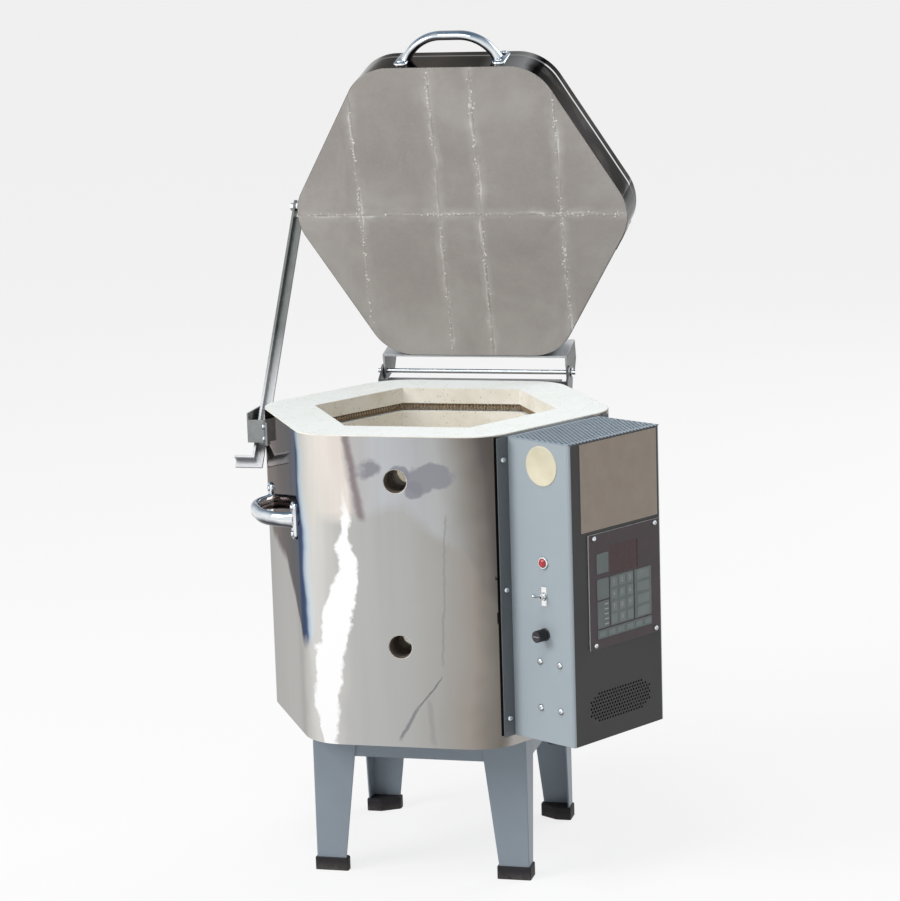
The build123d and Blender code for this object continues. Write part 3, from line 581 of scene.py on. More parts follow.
def heatingWire(name):
    # oxidised alloy wire, brown where the scale is thin
    wire = Finish(name, metallic=0.4, roughness=0.65)
    tone = wire.place.noise(260.0, 4.0)
    wire.set({"Base Color": tone.ramp([(0.3, srgb(150, 126, 100)), (0.7, srgb(196, 172, 140))])})
    wire.bump(wire.place.noise(2200.0, 3.0), 0.3, 0.00005)
    return wire.material


def clearRed(name, colour, glow=0.0, coat=0.6):
    # a red window or lens, which may glow a little
    glass = Finish(name, roughness=0.16, coat=coat, coatRough=0.05)
    deep = tuple(value * 0.45 for value in colour)
    glass.set({"Base Color": glass.place.noise(220.0, 3.0).spread(0.0, 1.0).mix(deep, colour)})
    glass.bump(glass.place.noise(600.0, 2.0), 0.05, 0.00005, glass.edges(0.0004))
    if glow:
        glass.set({"Emission Color": colour, "Emission Strength": glow})
    return glass.material


finishes = {
    "polished_steel": jacketSheet("mirrorPolishedJacket", jacketLook),
    "insulating_brick": wallBrick("coatedFirebrick", brickLook),
    "lid_brick": lidBrick("shadedLidBrick", lidLook),
    "zinc_steel": platedSteel("zincPlatedSteel", srgb(156, 160, 160), srgb(120, 123, 123)),
    "bright_rod": brightMetal("brightZincRod", (1.0, 1.0, 0.98), 0.35, (0.16, 0.3)),
    "chromed": brightMetal("handleChrome"),
    "stand_steel": paintedSteel("standEnamel", srgb(132, 143, 154), srgb(146, 156, 166)),
    "boot": rubberBoot("legBootRubber"),
    "box_metal": paintedSteel("boxEnamel", srgb(157, 168, 175), srgb(166, 177, 184)),
    # the overlay's dark maroon and the keys' light grey are both darkened by painted shade
    "controller": mouldedPlastic("controllerOverlay", srgb(62, 49, 53), srgb(54, 43, 46), (0.3, 0.42),
                                 depth=0.00003, edge=srgb(206, 208, 210)),
    "display": clearRed("displayWindow", srgb(70, 22, 30), coat=0.0),
    "keys": mouldedPlastic("keyOverlay", srgb(104, 114, 113), srgb(96, 106, 105), (0.35, 0.5),
                           depth=0.00003),
    "board": mouldedPlastic("circuitBoard", srgb(40, 92, 58), srgb(30, 76, 48), (0.3, 0.45)),
    "element_wire": heatingWire("heatingWire"),
    "porcelain": mouldedPlastic("porcelain", srgb(236, 232, 222), srgb(222, 216, 202), (0.35, 0.5)),
    "probe_sheath": mouldedPlastic("probeSheath", srgb(196, 184, 160), srgb(168, 152, 124), (0.6, 0.8)),
    "lamp_lens": clearRed("lampLens", srgb(196, 20, 38), 0.05),
    "lamp_body": brightMetal("lampBezel", (1.0, 1.0, 1.0), 0.45, (0.08, 0.2)),
    "switch_metal": brightMetal("switchNickel", (1.0, 0.99, 0.97), 0.3, (0.1, 0.24)),
    "black_plastic": mouldedPlastic("blackMoulding", srgb(50, 50, 56), srgb(40, 40, 45), (0.32, 0.5)),
    "transformer_iron": mouldedPlastic("varnishedIron", srgb(84, 78, 72), srgb(62, 56, 52), (0.4, 0.6)),
}
ownFinish = {
    "lid_band": bandSheet("mirrorPolishedBand", bandLook),
    "peephole_brick_top": wallBrick("peepholeFirebrick", brickLook, True),
    # the back plate's dark enamel is the box's paint with painted shade
    "box_back": paintedSteel("shadedBackPlateEnamel", srgb(88, 94, 98), srgb(102, 108, 112)),
    "box_top_vent": paintedSteel("ventEnamel", srgb(146, 161, 174), srgb(158, 172, 183)),
    "lid_hinge_channel": platedSteel("channelPlate", srgb(206, 208, 211), srgb(178, 181, 184),
                                     earReflection=srgb(84, 84, 86)),
    "hinge_base": platedSteel("hingePlate", srgb(112, 114, 116), srgb(88, 90, 92)),
    # the arm's low colour is a painted reflection of the floor
    "prop_arm": platedSteel("armPlate", srgb(100, 104, 103), srgb(80, 83, 83), low=srgb(158, 160, 162)),
}
ownFinish["peephole_brick_bottom"] = ownFinish["peephole_brick_top"]
slotOf = {entry["node"]: entry["material_slot"] for entry in frame["record"]["subparts"]}
for name, obj in nodes.items():
    obj.data.materials.clear()
    obj.data.materials.append(ownFinish.get(name, finishes[slotOf[name]]))
print("finishes on", len(nodes), "nodes")


# shapes that several pieces share
def addRing(bm, place, outline, z):
    # a loop of points at one height of a frame
    return [bm.verts.new(place @ Vector((x, y, z))) for x, y in outline]


def stitch(bm, rings):
    # a band of faces from each loop to the next; points that fall together make a face narrower
    for lower, upper in zip(rings, rings[1:]):
        for k in range(len(lower)):
            after = (k + 1) % len(lower)
            corners = list(dict.fromkeys((lower[k], lower[after], upper[after], upper[k])))
            if len(corners) > 2:
                bm.faces.new(corners)


def circle(radius, steps=24, x=0.0, y=0.0):
    turns = [2 * math.pi * k / steps for k in range(steps)]
    return [(x + radius * math.cos(turn), y + radius * math.sin(turn)) for turn in turns]


def rectangle(left, right, low, high):
    return [(left, low), (right, low), (right, high), (left, high)]


def addTurned(bm, profile, place=Matrix(), steps=48):
    # turns (radius, height) pairs round Z and carries them to their place
    rings = []
    for radius, z in profile:
        if radius == 0:
            rings.append(addRing(bm, place, [(0, 0)], z) * steps)
        else:
            rings.append(addRing(bm, place, circle(radius, steps), z))
    stitch(bm, rings)


def addBlock(bm, half, base, lift, corner, place=Matrix(), steps=4):
    # a low block with rounded corners and a small top bevel, round the middle of its frame
    rings = []
    for inset, z in ((0.0, base), (0.0, base + lift * 0.6), (lift * 0.4, base + lift)):
        radius = corner - min(inset, corner * 0.8)
        outline = []
        for quarter, (sideX, sideY) in enumerate(((1, 1), (-1, 1), (-1, -1), (1, -1))):
            for step in range(steps + 1):
                x, y = polar(90 * (quarter + step / steps), radius)[:2]
                outline.append((sideX * (half[0] - corner) + x, sideY * (half[1] - corner) + y))
        rings.append(addRing(bm, place, outline, z))
    stitch(bm, rings)
    bm.faces.new(rings[-1])
    bm.faces.new(list(reversed(rings[0])))


def curveMesh(name, runs, closed=False, **settings):
    # the mesh of straight runs of points, as a round wire or a filled sheet
    curve = bpy.data.curves.new(name, "CURVE")
    for key, value in settings.items():
        setattr(curve, key, value)
    for run in runs:
        spline = curve.splines.new("POLY")
        spline.points.add(len(run) - 1)
        spline.use_cyclic_u = closed
        for point, place in zip(spline.points, run):
            point.co = (*place, 1)
    return meshOf(bpy.data.objects.new(name, curve))


def flatSheet(name, outline, holes, thickness):
    # a sheet with holes, drawn in XY, its thickness down from Z 0
    loops = [[(x, y, 0) for x, y in loop] for loop in (outline, *holes)]
    mesh = curveMesh(name, loops, True, dimensions="2D", fill_mode="BOTH", extrude=thickness / 2)
    mesh.transform(at(0, 0, -thickness / 2))
    return mesh


# heating coils in the grooves
coil = {
    "out": 0.0066,             # coil centre behind the chamber wall
    "radius": 0.0036,
    "wire": 0.00085,
    "pitch": 0.0046,
    "steps": 8,                # points a turn
    "corner": 0.010,
    "drop": 0.005,             # where the wire goes down to its lower lap, beside the flat's middle
    "tail": 0.020,             # tails either side of the flat's middle
    "tailWire": 0.0024,
    "tailEnd": 0.0645 + 0.0157,
    "offsets": ((0.026, 0.088), (0.026, 0.088), (0.014, 0.088)),
}
coilReach = kiln["chamber"] / 2 + coil["out"]
feed = flatFrame(kiln["boxFlat"], coilReach)


def coilRoute(course):
    # one lap in the upper groove, a short drop, one lap in the lower groove
    upper, lower = (-course * kiln["course"] - offset for offset in coil["offsets"][course])
    corners = [kiln["axis"] + polar(60 * k, coilReach * cornerReach) for k in range(6)]
    points = [feed @ Vector((coil["tail"], upper, 0))]
    points += [corner + upright * (kiln["rim"] + upper) for corner in corners]
    points += [feed @ Vector((-coil["drop"], up, 0)) for up in (upper, lower)]
    points += [corner + upright * (kiln["rim"] + lower) for corner in corners]
    points += [feed @ Vector((-coil["tail"], lower, 0))]
    return points


def softCorners(points, radius, arcSteps=6):
    # rounds each inner corner of a run of straight lines
    result = [points[0]]
    for before, here, after in zip(points, points[1:], points[2:]):
        cut = min(radius, (before - here).length / 2.5, (after - here).length / 2.5)
        start = here + (before - here).normalized() * cut
        end = here + (after - here).normalized() * cut
        for step in range(arcSteps + 1):
            t = step / arcSteps
            result.append(start * (1 - t) ** 2 + here * 2 * t * (1 - t) + end * t ** 2)
    result.append(points[-1])
    return result


def woundWire(points):
    # walks along the route and winds the wire round it
    spacing = coil["pitch"] / coil["steps"]
    wound = []
    travelled = 0.0
    nextAt = 0.0
    for first, second in zip(points, points[1:]):
        length = (second - first).length
        if length < 1e-6:
            continue
        ahead = (second - first) / length
        side = ahead.cross(upright)
        if side.length < 0.1:
            side = ahead.cross(Vector((0, 1, 0)))
        side.normalize()
        over = side.cross(ahead)
        while nextAt <= travelled + length:
            turn = 2 * math.pi * nextAt / coil["pitch"]
            around = side * math.cos(turn) + over * math.sin(turn)
            wound.append(first + ahead * (nextAt - travelled) + around * coil["radius"])
            nextAt += spacing
        travelled += length
    return wound


def wireMesh(name, runs, radius, sides):
    bevel = {"bevel_depth": radius, "bevel_resolution": sides, "use_fill_caps": True}
    return curveMesh(name, runs, dimensions="3D", **bevel)


for course, courseName in enumerate(("top", "middle", "bottom")):
    route = coilRoute(course)
    outward = polar(kiln["boxFlat"], coil["tailEnd"])
    tails = [[end, end + outward] for end in (route[0], route[-1])]
    bm = bmesh.new()
    bm.from_mesh(wireMesh("coilTurns", [woundWire(softCorners(route, coil["corner"]))], coil["wire"], 1))
    bm.from_mesh(wireMesh("coilTails", tails, coil["tailWire"], 3))
    pieceName = "heatingCoil" + courseName.capitalize()
    addPiece(pieceName, bm, "body", "element_wire", "element_" + courseName, smooth=60)
print("heating coils wound")


# arch handles
arch = {
    "points": ((-0.062, 0.001), (-0.046, 0.033), (0.046, 0.033), (0.062, 0.001)),
    "bend": 0.055,
    "bar": (0.0095, 0.006),      # half of the oval's width and thickness
    "sides": 28,
    "swell": (0.22, 0.012),      # how much the bar thickens at its foot, and up to what height
    "foot": (0.0085, 0.0245, 0.003),
    "spacing": 0.0665,
    "screws": 0.017,
    "drop": -0.119,              # body handles below the rim
}


def archRoute(steps=14):
    # the bow's centre line in the XZ plane, straight at its ends and bent at both shoulders
    points = [Vector((x, 0, z)) for x, z in arch["points"]]
    route = [points[0]]
    for before, here, after in zip(points, points[1:], points[2:]):
        back = (before - here).normalized()
        on = (after - here).normalized()
        half = back.angle(on) / 2
        centre = here + (back + on).normalized() * (arch["bend"] / math.sin(half))
        cut = arch["bend"] / math.tan(half)
        for step in range(steps + 1):
            way = (here + back * cut - centre).slerp(here + on * cut - centre, step / steps)
            route.append(centre + way.normalized() * arch["bend"])
    route.append(points[-1])
    return route


def archShape():
    bm = bmesh.new()
    route = archRoute()
    across = Vector((0, 1, 0))
    wide, thick = arch["bar"]
    more, footHeight = arch["swell"]
    rings = []
    for before, point, after in zip(route[:1] + route, route, route[1:] + route[-1:]):
        ahead = (after - before).normalized()
        size = 1.0 + more * (1 - min(point.z / footHeight, 1.0)) ** 2
        oval = [(wide * size * x, thick * size * y) for x, y in circle(1.0, arch["sides"])]
        place = frameOf(across, across.cross(ahead).normalized(), ahead, point)
        rings.append(addRing(bm, place, oval, 0.0))
    stitch(bm, rings)
    for ring in (rings[0], rings[-1]):
        bm.faces.new(ring)
    half, long, sheet = arch["foot"]
    for x in both(arch["spacing"]):
        addBlock(bm, (half, long), 0.0, sheet, half * 0.92, at(x, 0), 8)
    for vert in bm.verts:
        vert.co.z = max(vert.co.z, 0.0)
    return bm


lidFront = lidOpen @ flatFrame(-90, kiln["lidAcross"] / 2, kiln["lidGap"] + kiln["lidThick"] / 2)
leftHandle = flatFrame(210, up=arch["drop"])
rightHandle = flatFrame(30, up=arch["drop"])
for name, body, place, node in (("lidArch", "lid", lidFront, "lid_handle"),
                                ("leftArch", "body", leftHandle, "body_handle_left"),
                                ("rightArch", "body", rightHandle, "body_handle_right")):
    addPiece(name, archShape(), body, "chromed", node, smooth=50, place=place)
print("handles bent")


# the control box's folded cover, in the frame of the flat behind it
cover = {
    "half": 0.0845,
    "top": -0.0049,
    "bottom": -0.3824,
    "near": 0.0015,              # out from the kiln's flat
    "far": panel["back"],
    "sheet": 0.0015,
    "fold": 0.0032,
    "foldSteps": 8,
    "window": (0.052, 0.058),    # half of the opening behind the controller
    "grille": (0.002, -0.340),
    "field": (0.117, 0.037),
    "pitch": (0.0050, 0.0043),
    "rows": 4,                   # rows and columns either side of the middle ones
    "columns": 13,
    "hole": 0.0017,
    "lamp": (0.056, -0.155, 0.0046),     # on the left side: out, up, and radius of the hole
    "toggle": (0.056, -0.197, 0.0032),
    "fuse": (0.056, -0.245, 0.0062),
    "relay": (0.063, -0.310, 0.0021),
    "gland": (-0.048, 0.036, 0.010),     # in the bottom: across, out, radius
}
# frames on the box's sides: X away from the kiln on the left and to it on the right, Y up, Z outward
boxLeft = boxFrame @ frameOf((0, 0, 1), (0, 1, 0), (-1, 0, 0), (-cover["half"], 0, 0))
boxRight = boxFrame @ frameOf((0, 0, -1), (0, 1, 0), (1, 0, 0), (cover["half"], 0, 0))
boxBottom = boxFrame @ frameOf((1, 0, 0), (0, 0, 1), (0, -1, 0), (0, cover["bottom"], 0))
lampPlace, togglePlace, fusePlace, relayPlace = (boxLeft @ at(*cover[key][:2])
                                                 for key in ("lamp", "toggle", "fuse", "relay"))

# pan head screws with a cross recess, and their seats: columns, rows and how far out of the frame
panHead = {"radius": 0.0040, "height": 0.0024, "recess": 0.0012, "arm": 0.0021, "slot": 0.00042, "seed": 5,
           "rounding": ((0.97, 0), (1.0, 0.3), (0.96, 0.58), (0.8, 0.84), (0.45, 0.98))}
seats = {
    "foot": (both(arch["spacing"]), both(arch["screws"]), arch["foot"][2]),
    "hinge": ((-0.1, 0.0, 0.1), (-0.022, -0.045), 0.0025),
    "flange": (both(cover["half"] + 0.0095), (-0.0314, -0.1954, -0.3594), 0.0015),
    "lap": ((-0.06,), [0.2321 + 0.077 * step for step in range(5)], 0.0006),    # rows up from the floor
    "bracket": ((0.065,), both(0.008), 0.002),
    "bracketFront": ((0.0,), both(0.008), 0.002),
    "lidHinge": (both(0.06), both(0.016), 0.0025),
    "relay": (both(0.0163), both(0.0293), 0.0),
    "panel": (both(0.057), both(0.0675), 0.0),
}
bracket = {"up": -0.033, "angle": 202}    # the loop bracket's level, and its front end round the left corner


def screwPattern():
    radius, height = panHead["radius"], panHead["height"]
    rounding = [(radius * across, height * up) for across, up in panHead["rounding"]]
    bm = bmesh.new()
    addTurned(bm, [(0, 0), *rounding, (0, height)], steps=28)
    head = bpy.data.objects.new("screwHead", meshFrom(bm, "screwHead"))
    arm, slot = panHead["arm"], panHead["slot"]
    cross = [(slot, slot), (slot, arm), (-slot, arm), (-slot, slot), (-arm, slot), (-arm, -slot),
             (-slot, -slot), (-slot, -arm), (slot, -arm), (slot, -slot), (arm, -slot), (arm, slot)]
    bm = bmesh.new()
    top = addRing(bm, Matrix(), cross, height + 0.001)
    low = addRing(bm, Matrix(), [(x * 0.6, y * 0.6) for x, y in cross], height - panHead["recess"])
    bm.faces.new(top)
    bm.faces.new(list(reversed(low)))
    stitch(bm, [top, low])
    cutter = bpy.data.objects.new("crossCutter", meshFrom(bm, "crossCutter"))
    scene.collection.objects.link(cutter)
    cut = head.modifiers.new("recess", "BOOLEAN")
    cut.operation = "DIFFERENCE"
    cut.object = cutter
    mesh = meshOf(head)
    bpy.data.objects.remove(cutter)
    return mesh


patternMesh = screwPattern()
screwFinish = brightMetal("screwZinc", (1.0, 1.0, 0.99), 0.25, (0.2, 0.34))
spin = random.Random(panHead["seed"])


def addScrews(name, body, node, groups, size=1.0):
    # one piece of several groups of screws, each group a seat's name and the frame it is on
    bm = bmesh.new()
    for seat, place in groups:
        columns, rows, out = seats[seat]
        for x in columns:
            for y in rows:
                copy = patternMesh.copy()
                turn = Matrix.Rotation(spin.uniform(0, math.pi), 4, "Z")
                copy.transform(place @ at(x, y, out) @ turn @ Matrix.Scale(size, 4))
                bm.from_mesh(copy)
                bpy.data.meshes.remove(copy)
    addPiece(name, bm, body, "zinc_steel", node, screwFinish, 40)


arcMiddle = kiln["axis"] - Vector(((kiln["across"] / 2 - kiln["corner"]) * cornerReach, 0, 0))
arcSeat = arcMiddle + polar(bracket["angle"], kiln["corner"]) + upright * (kiln["rim"] + bracket["up"])
arcFrame = frameOf(polar(bracket["angle"] + 90), upright, polar(bracket["angle"]), arcSeat)
lidBack = lidOpen @ flatFrame(90, kiln["lidAcross"] / 2, kiln["lidGap"] + kiln["channelUp"])
panelFrame = boxFrame @ at(*panel["middle"], panel["front"])
addScrews("bodyScrews", "body", "jacket_screws", (
    ("foot", leftHandle),
    ("foot", rightHandle),
    ("hinge", flatFrame(90)),
    ("flange", boxFrame),
    ("lap", flatFrame(150, up=-kiln["rim"])),
    ("bracket", flatFrame(150, up=bracket["up"])),
    ("bracketFront", arcFrame),
))
addScrews("lidScrews", "lid", "lid_screws", (("foot", lidFront), ("lidHinge", lidBack)))
addScrews("relayScrews", "body", "relay_screws", [("relay", relayPlace)])
addScrews("panelScrews", "body", "controller_screws", [("panel", panelFrame)], 0.85)
print("screws driven")


def grilleHoles():
    # staggered six sided holes in an oblong field with round ends
    x0, y0 = cover["grille"]
    long, tall = cover["field"]
    pitchX, pitchY = cover["pitch"]
    rows, columns, hole = cover["rows"], cover["columns"], cover["hole"]
    holes = []
    for row in range(-rows, rows + 1):
        y = row * pitchY
        for column in range(-columns, columns + 1):
            x = (column + (row % 2) / 2) * pitchX
            beyond = max(abs(x) - (long - tall) / 2, 0)
            if math.hypot(beyond, y) < (tall - hole) / 2:
                holes.append([(x0 + x + side, y0 + y + up) for up, side in circle(hole, 6)])
    return holes


def coverFace():
    inner = cover["half"] - cover["fold"]
    panelX, panelY = panel["middle"]
    halfWide, halfTall = cover["window"]
    window = rectangle(panelX - halfWide, panelX + halfWide, panelY - halfTall, panelY + halfTall)
    outline = rectangle(-inner, inner, cover["bottom"], cover["top"])
    mesh = flatSheet("boxFace", outline, [window] + grilleHoles(), cover["sheet"])
    mesh.transform(boxFrame @ at(0, 0, cover["far"]))
    return mesh


def coverSides():
    # left side, right side, bottom and the two folds beside the face
    near, far, low, high = cover["near"], cover["far"], cover["bottom"], cover["top"]
    half, fold, sheet = cover["half"], cover["fold"], cover["sheet"]
    holes = [circle(radius, 24, x, y) for x, y, radius in (cover["lamp"], cover["toggle"], cover["fuse"])]
    relayX, relayY, relayHole = cover["relay"]
    columns, rows = seats["relay"][:2]
    holes += [circle(relayHole, 12, relayX + x, relayY + y) for x in columns for y in rows]
    glandX, glandY, glandRadius = cover["gland"]
    gland = [circle(glandRadius, 24, glandX, glandY)]
    sides = (("boxLeft", rectangle(near, far - fold, low, high), holes, boxLeft),
             ("boxRight", rectangle(fold - far, -near, low, high), [], boxRight),
             ("boxBottom", rectangle(sheet - half, half - sheet, near, far - sheet), gland, boxBottom))
    bm = bmesh.new()
    for name, outline, openings, place in sides:
        mesh = flatSheet(name, outline, openings, sheet)
        mesh.transform(place)
        bm.from_mesh(mesh)
    for side in bothWays:
        rings = []
        for step in range(cover["foldSteps"] + 1):
            out, across = polar(90 * step / cover["foldSteps"])[:2]
            ring = []
            for radius, heights in ((fold, (low, high)), (fold - sheet, (high, low))):
                x = side * (half - fold + radius * across)
                z = far - fold + radius * out
                ring += [bm.verts.new(boxFrame @ Vector((x, y, z))) for y in heights]
            rings.append(ring)
        stitch(bm, rings)
    return bm


# the face's charcoal is partly a darker finish and partly painted shade
shadedFaceFinish = paintedSteel("shadedFaceEnamel", srgb(30, 30, 30), srgb(36, 36, 36), (0.42, 0.56), 420.0)
addPiece("boxFace", coverFace(), "body", "box_metal", "box_cover", shadedFaceFinish, 20)
addPiece("boxSides", coverSides(), "body", "box_metal")
print("box cover folded")


# vented top of the control box
boxTop = {
    "up": -0.0034,
    "columns": 27,
    "rows": 22,
    "hole": 0.0023,            # half the hole's width
    "long": 0.0030,            # half the hole's length
    "side": 0.0008,            # what is left whole beside the outer holes
    "ends": 0.004,             # and before the first row and after the last
    "tooth": 0.0024,           # how deep the front edge is toothed
    "teeth": ((0.9, 0), (0.7, 1), (0.3, 1), (0.1, 0)),    # shares of the pitch and of that depth
    "rear": 0.0003,            # how far the rear edge's points stay from the lines between two holes
}


def ventHoles(pitch, rowPitch):
    # staggered long holes with pointed ends
    half, near, far, wide = cover["half"], cover["near"], cover["far"], boxTop["hole"]
    long = min(boxTop["long"], rowPitch * 0.45)
    shoulder = long * 0.45
    holes = []
    for row in range(boxTop["rows"]):
        y = near + (row + 0.5) * rowPitch / 2
        for column in range(boxTop["columns"] + 1):
            x = -half + (column + (row % 2) / 2) * pitch
            if abs(x) <= half - wide - boxTop["side"] and near + boxTop["ends"] < y < far - boxTop["ends"]:
                holes.append([(x - wide, y - shoulder), (x, y - long), (x + wide, y - shoulder),
                              (x + wide, y + shoulder), (x, y + long), (x - wide, y + shoulder)])
    return holes


def topVent():
    near, far, rear = cover["near"], cover["far"], boxTop["rear"]
    pitch = 2 * cover["half"] / boxTop["columns"]
    starts = [column * pitch - cover["half"] for column in range(boxTop["columns"])]
    outline = []
    for x in starts:
        outline += [(x + rear, near), (x + pitch - rear, near)]
    # the cut passes through the last holes, so the front edge is toothed
    for x in reversed(starts):
        outline += [(x + pitch * share, far - boxTop["tooth"] * deep) for share, deep in boxTop["teeth"]]
    holes = ventHoles(pitch, (far - near) / (boxTop["rows"] / 2))
    mesh = flatSheet("boxTopVent", outline, holes, cover["sheet"])
    # drawn with X across the box and Y outward from the kiln
    place = boxFrame @ at(0, boxTop["up"]) @ Matrix.Rotation(math.radians(90), 4, "X")
    mesh.transform(place @ Matrix.Scale(-1, 4, (0, 0, 1)))
    mesh.flip_normals()
    return mesh


addPiece("boxTopVent", topVent(), "body", "box_metal", "box_top_vent", ownFinish["box_top_vent"])
print("vent punched")


# pilot lamp, switch and fuse holder on the box's left side, turned from (radius, height) pairs
lamp = {
    "bezel": [(0.0045, -0.004), (0.0078, 0.0), (0.0080, 0.0008), (0.0076, 0.0018), (0.0066, 0.0022),
              (0.0058, 0.0020), (0.0056, 0.0006), (0.0, 0.0006)],
    "lens": [(0.0, 0.0006), (0.0054, 0.0007), (0.0054, 0.0024), (0.0049, 0.0034), (0.0036, 0.0043),
             (0.0019, 0.0047), (0.0, 0.0049)],
}
switch = {
    "inside": ((0.007, 0.014), -0.026, 0.0245, 0.001),       # half sizes, base, lift and corner
    "label": ((0.0042, 0.0125), 0.0, 0.0009, 0.0008),
    "nut": [(0.0030, 0.0009), (0.0054, 0.0009), (0.0054, 0.0031), (0.0049, 0.0035), (0.0030, 0.0035)],
    "ridges": [0.0035 + 0.0004 * ridge for ridge in range(9)],
    "neckStart": [(0.0, -0.006), (0.0028, -0.006)],
    "neckEnd": [(0.0027, 0.0072), (0.0019, 0.0072), (0.0012, 0.0015), (0.0, 0.0015)],
    "lever": [(0.0, -0.0006), (0.0010, -0.0006), (0.00125, 0.006), (0.0019, 0.0145), (0.0022, 0.0168),
              (0.0021, 0.0183), (0.0014, 0.0192), (0.0, 0.0194)],
    "leverUp": 0.003,
    "leverTilt": -14,
}
fuse = {
    "flutes": 24,
    "cap": (0.0074, 0.0065),     # outer and fluted radius
    "foot": 0.0023,
    "end": 0.0173,
    "inner": 0.0052,             # radius of the flat end
    "stem": 0.0041,
    "slot": ((0.0048, 0.0007), 0.0169, 0.0005, 0.0005),
    "barrel": [(0.0, -0.034), (0.0061, -0.034), (0.0061, 0.0), (0.0080, 0.0), (0.0080, 0.0012),
               (0.0072, 0.0019), (0.0044, 0.0019), (0.0044, -0.020), (0.0, -0.020)],
    "nut": [(0.0062, -0.0042), (0.009, -0.0042), (0.009, -0.0013), (0.0062, -0.0013)],
}


def fitting(place, turned=(), blocks=()):
    # turned forms and low blocks on one axis
    bm = bmesh.new()
    for block in blocks:
        addBlock(bm, *block, place)
    for profile, steps in turned:
        addTurned(bm, profile, place, steps)
    return bm


def fuseCap():
    # a fluted cap on its stem
    foot, end, count = fuse["foot"], fuse["end"], fuse["flutes"] * 4
    levels = ((foot, 0.92), (foot + 0.0006, 1.0), (end - 0.0010, 1.0), (end - 0.0003, 0.93), (end, 0.84))
    bm = bmesh.new()
    rings = []
    for z, share in levels:
        radii = [fuse["cap"][1 if k % 4 in (2, 3) else 0] * share for k in range(count)]
        outline = [(radius * x, radius * y) for radius, (x, y) in zip(radii, circle(1.0, count))]
        rings.append(addRing(bm, fusePlace, outline, z))
    rings.append(addRing(bm, fusePlace, circle(fuse["inner"], count), end - 0.0002))
    stitch(bm, rings)
    bm.faces.new(rings[-1])
    addTurned(bm, [(0.0, 0.001), (fuse["stem"], 0.001), (fuse["stem"], foot), (0.0, foot)], fusePlace, 24)
    return bm


thread = [pair for z in switch["ridges"] for pair in ((0.0031, z), (0.0028, z + 0.0002))]
neck = switch["neckStart"] + thread + switch["neckEnd"]
leverTurn = Matrix.Rotation(math.radians(switch["leverTilt"]), 4, "X")
leverPlace = togglePlace @ at(0, 0, switch["leverUp"]) @ leverTurn
slotFinish = mouldedPlastic("capSlot", srgb(150, 150, 152), srgb(128, 128, 130), (0.3, 0.45))
bezelShape = fitting(lampPlace, [(lamp["bezel"], 48)])
addPiece("lampBezel", bezelShape, "body", "lamp_body", "pilot_lamp_body", smooth=40)
lensShape = fitting(lampPlace, [(lamp["lens"], 48)])
addPiece("lampDome", lensShape, "body", "lamp_lens", "pilot_lamp_lens", smooth=60)
switchShape = fitting(togglePlace, [(switch["nut"], 6), (neck, 32)], [switch["inside"], switch["label"]])
addPiece("switchNeck", switchShape, "body", "switch_metal", "toggle_body", smooth=35)
leverShape = fitting(leverPlace, [(switch["lever"], 32)])
addPiece("switchLever", leverShape, "toggle", "switch_metal", "toggle_lever", smooth=50)
addPiece("fuseCap", fuseCap(), "fuse_cap", "black_plastic", "fuse_cap", smooth=25)
slotShape = fitting(fusePlace, blocks=[fuse["slot"]])
addPiece("fuseSlot", slotShape, "fuse_cap", "black_plastic", finish=slotFinish)
holderShape = fitting(fusePlace, [(fuse["barrel"], 48), (fuse["nut"], 6)])
addPiece("fuseHolder", holderShape, "body", "black_plastic", "fuse_body", smooth=35)
print("controls fitted")


# controller keys, in millimetres on the controller's plate: middles and half sizes
keypad = {
    "blocks": (((-42, 34.5), (11, 12.5)), ((-42, 2), (11, 13)), ((-42, -30), (11, 17)),
               ((-7, -16), (22, 31)), ((33, -16), (16, 31)), ((-2, -54.5), (51, 5.5))),
    "blockLift": 0.6,
    "columns": (-22, -7, 8),
    "rows": (7.5, -8, -23.5, -39),
    "number": (5.5, 6),
    "wide": (11.5, 6),
    "wideColumn": 33,
    "small": (6, 3.3),
    "smallRow": -54.5,
    "smallColumns": range(-44, 42, 17),
    "bar": (3.5, 0.8),           # the strokes printed at the left
    "barColumn": -36.5,
    "barRows": [-17.5 - 6.3 * index for index in range(5)],
    "capLift": 0.3,
    "figure": 7.5,
}
keyPlace = panelFrame @ Matrix.Scale(0.001, 4)


def figureMesh(body, x, y):
    # a plain figure centred on its key
    curve = bpy.data.curves.new("figure", "FONT")
    curve.body = body
    curve.size = keypad["figure"]
    curve.align_x = "CENTER"
    curve.align_y = "CENTER"
    curve.extrude = 0.075
    mesh = meshOf(bpy.data.objects.new("figure", curve))
    mesh.transform(at(x, y, keypad["blockLift"] + keypad["capLift"] + 0.08))
    return mesh


keys = bmesh.new()
for (x, y), half in keypad["blocks"]:
    addBlock(keys, half, 0.0, keypad["blockLift"], 1.5, at(x, y))
addPiece("controllerKeys", keys, "body", "keys", "keypad", place=keyPlace)

